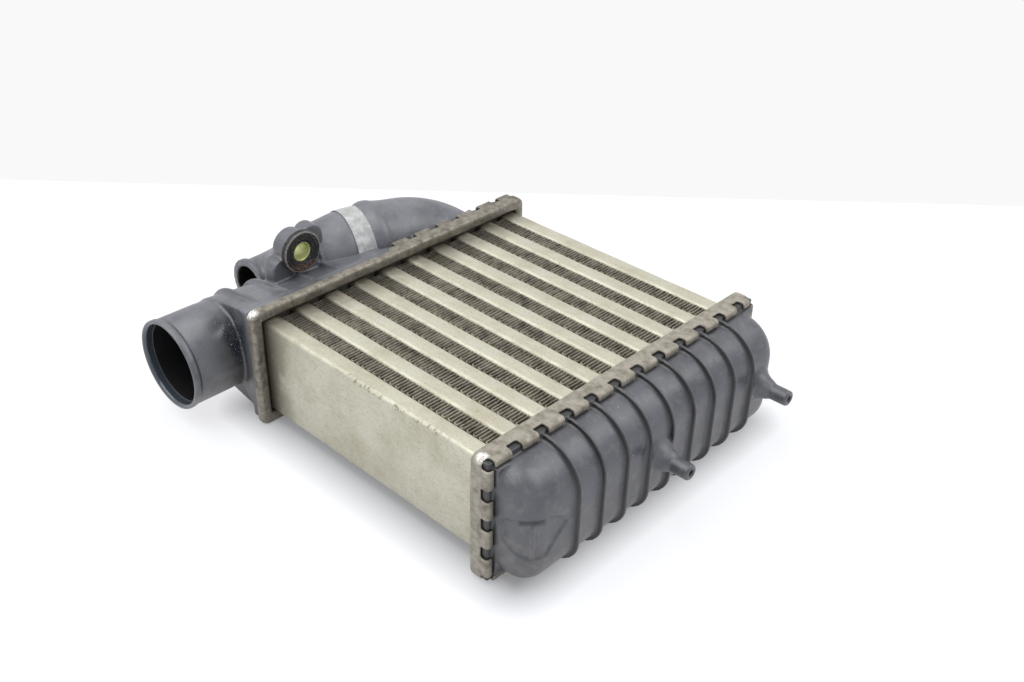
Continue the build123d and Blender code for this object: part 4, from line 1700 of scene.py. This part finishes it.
@dataclass
class FixingBush:
    """The rubber bush and plated sleeve in the fixing eye."""

    frame: CoreFrame
    face_out: float = 27.5
    y: float = -54.4
    z: float = 48.0
    back_out: float = 43.3
    steps: int = 64
    sharp_angle: float = 40.0

    def ring(
        self, name: str, outline: list[tuple[float, float]], slot: str, finish: bpy.types.Material, node: str,
    ) -> bpy.types.Object:
        """Spins a closed outline about the eye's axis.

        Args:
            name: The piece's name.
            outline: Its corners, as distance out and radius, in millimetres.
            slot: The record's material slot; it is not used.
            finish: Its material.
            node: The node that it stands for.

        Returns:
            The new piece.
        """
        bm = bmesh.new()
        profile = [self.frame.at(Side.PORT, out, self.y, self.z + radius) for out, radius in outline]
        axis_at = self.frame.at(Side.PORT, 0, self.y, self.z)
        spun(bm, [*profile, profile[0]], axis_at, Vector((1, 0, 0)), self.steps)
        sharpen(bm, self.sharp_angle)
        piece = new_piece(name, bm, finish)
        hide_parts(node)
        return piece

    def axis_at(self) -> Vector:
        """Gives the middle of the bush's face."""
        return self.frame.at(Side.PORT, self.face_out, self.y, self.z)

    def build(self, rubber: bpy.types.Material, plated: bpy.types.Material) -> None:
        """Spins the bush and its sleeve.

        Args:
            rubber: The bush's material.
            plated: The sleeve's material.
        """
        face, back = self.face_out, self.back_out
        self.ring("rubber_bush", [
            (face + 0.5, 6.55), (face, 7.3), (face, 9.0), (face + 0.35, 9.4), (face, 9.8), (face, 12.3),
            (face + 0.4, 13.2), (face + 1.3, 13.6), (face + 3.2, 13.6), (face + 4.0, 12.9),
            (face + 4.0, 10.4), (face + 4.8, 10.4), (face + 4.8, 8.95), (back, 8.9), (back, 6.55),
        ], "bush_rubber", rubber, "mount_grommet")
        self.ring("plated_sleeve", [
            (face + 1.3, 5.3), (face + 1.0, 5.6), (face + 1.0, 6.2), (face + 1.3, 6.5),
            (back, 6.5), (back, 5.3),
        ], "sleeve_steel", plated, "mount_sleeve")


@dataclass
class DuctBand:
    """The thin pale band wrapped round the duct, next to its collar."""

    frame: CoreFrame
    node: bpy.types.Object
    node_at: tuple[float, float, float] = (48.55, -10.98, 25.35)
    node_aim: tuple[float, float, float] = (-8.9, 30.5, 1.7)
    place_at: tuple[float, float, float] = (46.76, -1.42, 25.42)
    place_aim: tuple[float, float, float] = (-6.8, 28.0, 0.8)
    half_width: float = 6.5
    proud: float = 1.012
    grimy_edge: float = 2.5
    wave: tuple[float, float] = (12.0, 0.12)
    sharp_angle: float = 40.0

    def stand(self, at: tuple[float, float, float], aim: tuple[float, float, float]) -> Matrix:
        """Gives the matrix of a place on the duct, its own Z along the duct.

        Args:
            at: The place, as distance out, across and up, in millimetres.
            aim: The step from it along the duct.

        Returns:
            The matrix in the frame's coordinates.
        """
        start = self.frame.at(Side.PORT, *at)
        end = self.frame.at(Side.PORT, *(a + b for a, b in zip(at, aim)))
        return frame_along(end - start, start)

    def build(self, finish: bpy.types.Material) -> bpy.types.Object:
        """Lets the band sit against the collar, a little uneven, with grimy edges.

        Args:
            finish: Its material.

        Returns:
            The band, which stands for its node.
        """
        bm = merged_copy(self.node)
        to_node = self.stand(self.node_at, self.node_aim).inverted()
        to_place = self.stand(self.place_at, self.place_aim)
        size, height = self.wave
        edges = []
        for vert in bm.verts:
            local = to_node @ vert.co
            edges.append(eased(abs(local.z) / MM, self.half_width - self.grimy_edge, self.half_width))
            vert.co = to_place @ Vector((local.x * self.proud, local.y * self.proud, local.z))
            vert.co += noise.noise_vector(vert.co / (size * MM)) * height * MM
        sharpen(bm, self.sharp_angle)
        piece = new_piece("pale_duct_band", bm, finish)
        mark(piece, "shade_and_grime", edges)
        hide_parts("duct_band")
        return piece


# ---- Studio -------------------------------------------------------------------------


@dataclass(frozen=True)
class Lamp:
    """A soft square light: its place from the core's middle and its side in metres, and its watts."""

    name: str
    offset: tuple[float, float, float]
    side: float
    power: float


@dataclass
class Studio:
    """White table and surroundings, soft lights, and the camera."""

    frame: CoreFrame
    camera_at: tuple[float, float, float] = (389.9, -409.4, 374.0)
    camera_right: tuple[float, float, float] = (0.7226, 0.6909, 0.0219)
    camera_view: tuple[float, float, float] = (-0.5736, 0.6171, -0.5387)
    lens: float = 39.6
    sensor: float = 36.0
    clip_start: float = 0.01
    lamps: tuple[Lamp, ...] = (
        Lamp("window", (0.55, 0.5, 0.85), 0.7, 3.8),
        Lamp("ceiling", (-0.25, -0.45, 1.15), 1.3, 12.5),
        Lamp("fill", (-0.6, -0.8, 0.5), 0.8, 1.4),
    )
    table_end: float = 882.0
    table_length: float = 4000.0
    table_half_width: float = 3000.0
    table_colour: str = "858688"
    table_glow: str = "5c5c5d"
    table_roughness: float = 0.9
    air: tuple[float, float, float, float] = (0.632, 0.653, 0.68, 1.0)
    far_white: str = "f9f9fa"
    far_below: Range = (-0.02, -0.08)
    far_ahead: Range = (0.08, 0.2)
    # Painted shadow on the table: its glow rises from glow_near at a box round the cooler to glow_far at
    # glow_reach millimetres beyond it.
    tank_reach: float = 22.0
    glow_inset: float = 12.0
    glow_reach: float = 26.0
    glow_near: float = 1.9
    glow_far: float = 6.6

    def add_camera(self) -> None:
        """Stands the camera at its place, looking down on the cooler's port and front tube."""
        data = bpy.data.cameras.new("camera")
        data.lens = self.lens
        data.sensor_width = self.sensor
        data.clip_start = self.clip_start
        camera = bpy.data.objects.new("camera", data)
        bpy.context.scene.collection.objects.link(camera)
        back = -Vector(self.camera_view).normalized()
        right = Vector(self.camera_right)
        right = (right - back * right.dot(back)).normalized()
        turn = Matrix((right, back.cross(right), back)).transposed()
        camera.matrix_world = Matrix.Translation(self.frame.inside(*self.camera_at)) @ turn.to_4x4()
        bpy.context.scene.camera = camera

    def add_lamp(self, lamp: Lamp) -> None:
        """Adds a light that faces the core's middle.

        Args:
            lamp: Its place, size and power.
        """
        data = bpy.data.lights.new(lamp.name, "AREA")
        data.size = lamp.side
        data.energy = lamp.power
        light = bpy.data.objects.new(lamp.name, data)
        bpy.context.scene.collection.objects.link(light)
        place = self.frame.middle + Vector(lamp.offset)
        light.matrix_world = frame_along(place - self.frame.middle, place)

    def add_table(self, view: Vector) -> bpy.types.Material:
        """Adds the plain table, which glows a little of its own.

        Args:
            view: The level direction that the camera looks in.

        Returns:
            The table's paint.
        """
        eye = self.frame.inside(*self.camera_at)
        side = Vector((-view.y, view.x, 0)) * self.table_half_width * MM
        foot = Vector((eye.x, eye.y, 0)) + view * self.table_end * MM
        near = foot - view * self.table_length * MM
        corners = (foot - side, foot + side, near + side, near - side)
        bm = bmesh.new()
        bm.faces.new([bm.verts.new(corner) for corner in corners])
        mesh = bpy.data.meshes.new("table")
        bm.to_mesh(mesh)
        bm.free()
        plane = bpy.data.objects.new("table", mesh)
        bpy.context.scene.collection.objects.link(plane)
        paint = bpy.data.materials.new("table")
        paint.use_nodes = True
        shader = paint.node_tree.nodes["Principled BSDF"]
        shader.inputs["Base Color"].default_value = linear(self.table_colour)
        shader.inputs["Roughness"].default_value = self.table_roughness
        shader.inputs["Emission Color"].default_value = linear(self.table_glow)
        mesh.materials.append(paint)
        return paint

    def add_surroundings(self, view: Vector) -> None:
        """Lights the studio from all round, whiter ahead and below the table's far edge.

        Args:
            view: The level direction that the camera looks in.
        """
        world = bpy.data.worlds.new("studio")
        world.use_nodes = True
        tree = world.node_tree
        toward = add_node(tree, "ShaderNodeTexCoord").outputs["Generated"]
        below = ranged(tree, axes(tree, toward)[2], *self.far_below)
        ahead = ranged(tree, vector_math(tree, "DOT_PRODUCT", toward, view), *self.far_ahead)
        colour = blend(tree, larger(tree, below, ahead), self.air, self.far_white)
        tree.links.new(colour, tree.nodes["Background"].inputs["Color"])
        bpy.context.scene.world = world

    def paint_table_shadow(self, paint: bpy.types.Material) -> None:
        """Paints a shadow on the table round the cooler: the table's glow is weakest by the cooler and grows
        with distance from it.

        Args:
            paint: The table's paint.
        """
        tree = paint.node_tree
        frame, inset, reach = self.frame, self.glow_inset * MM, self.tank_reach * MM
        half = (frame.half_length + reach, frame.half_width - inset, 1.0)
        place = add_node(tree, "ShaderNodeTexCoord").outputs["Object"]
        place = vector_math(tree, "ABSOLUTE", vector_math(tree, "SUBTRACT", place, frame.middle))
        place = vector_math(tree, "MAXIMUM", vector_math(tree, "SUBTRACT", place, half), (0, 0, 0))
        away = vector_math(tree, "LENGTH", place)
        glow = ranged(tree, away, 0.0, self.glow_reach * MM, self.glow_near, self.glow_far)
        tree.links.new(glow, tree.nodes["Principled BSDF"].inputs["Emission Strength"])

    def build(self) -> None:
        """Builds the studio."""
        across, along, _ = self.camera_view
        view = Vector((across, along, 0)).normalized()
        self.add_camera()
        self.paint_table_shadow(self.add_table(view))
        self.add_surroundings(view)
        for lamp in self.lamps:
            self.add_lamp(lamp)
        bpy.context.scene.view_settings.view_transform = "Standard"
        log.info("studio ready")


# ---- The whole cooler ---------------------------------------------------------------


def main() -> None:
    """Builds the cooler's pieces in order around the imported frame."""
    logging.basicConfig(level=logging.INFO, format="%(name)s: %(message)s")
    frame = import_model()
    nodes = frame["nodes"]
    core_frame = CoreFrame.from_headers()
    core_top = core_frame.middle.z / MM + Core.core_depth / 2
    core_front = core_frame.middle.y / MM + Core(core_frame).tube_centre(1) - Core.tube_height / 2
    port_x = core_frame.at(Side.PORT, 0, 0, 0).x / MM

    tube_finish = BrazedTube(
        "brazed_tube_aluminium", "bebbaa", "aaa591", "807967", 0.48, 0.5,
        header_x_mm=port_x, edge_y_mm=core_front, edge_z_mm=core_top,
    ).make()
    # The fins' worn colour, ded7c6, is laid as a painted highlight along their top edges.
    fin_finish = FinSheet(
        "brazed_fin_aluminium", "a49c8c", "ded7c6", "585145", 0.6, 0.35,
        header_x_mm=port_x, crest_height_mm=core_top,
    ).make()
    port_sheet = PressedSheet(
        "pressed_aluminium_grimy", "8d877c", "c6c2b6", "645f55", 0.48, 0.6,
        knock_at=tuple(core_frame.at(Side.PORT, 3.5, -110.5, 38.8)), knock_mm=4.8,
    ).make()
    return_sheet = PressedSheet(
        "pressed_aluminium_dull", "9b9589", "bfb9ad", "767064", 0.55, 0.4,
        knock_at=tuple(core_frame.at(Side.RETURN, 6.5, -110.0, 39.0)), knock_mm=4.2,
    ).make()
    # The two tanks take one nylon in two copies for how light falls on them: the port tank's painted lighter,
    # the return tank's darker.
    port_nylon = MouldedNylon("glass_filled_nylon_lit_and_dusty", "4e4f55", "696a70", "978f83", 0.38).make()
    return_nylon = MouldedNylon("glass_filled_nylon", "3f4046", "515258", "6e6960", 0.38).make()
    rubber = BushRubber(
        "bush_rubber", "151516", "8a8784", "5d5954", 0.7, axis_at=tuple(FixingBush(core_frame).axis_at()),
    ).make()
    seal_rubber = MattePlain("seal_rubber", "141414", "141414", "2a2826", 0.7).make()
    plated = MattePlain(
        "yellow_passivated_zinc", "c3c78f", "c3c78f", "8b8757", 0.4, 0.6, grime_share=0.4,
    ).make()
    pale_wrap = MattePlain(
        "pale_polyester_wrap", "d0d0d0", "d0d0d0", "8f8f8e", 0.5,
        grime=Pattern(6.0, 5.0, 0.68), grime_share=0.5,
    ).make()

    Core(core_frame).build(tube_finish, fin_finish)
    Header(Side.PORT, core_frame, nodes["port_header"]).build(port_sheet)
    Header(Side.RETURN, core_frame, nodes["return_header"]).build(return_sheet)
    ReturnTank(core_frame).build(return_nylon)
    PortTank(core_frame, nodes["port_tank"]).build(port_nylon)
    FixingBush(core_frame).build(rubber, plated)
    DuctBand(core_frame, nodes["duct_band"]).build(pale_wrap)

    for name in ("port_seal", "return_seal"):
        repaint(nodes[name], seal_rubber)
    for number in range(1, Core.tube_count + 1):
        repaint(nodes[f"turbulator_{number}"], fin_finish)

    Studio(core_frame).build()


if __name__ == "__main__":
    main()
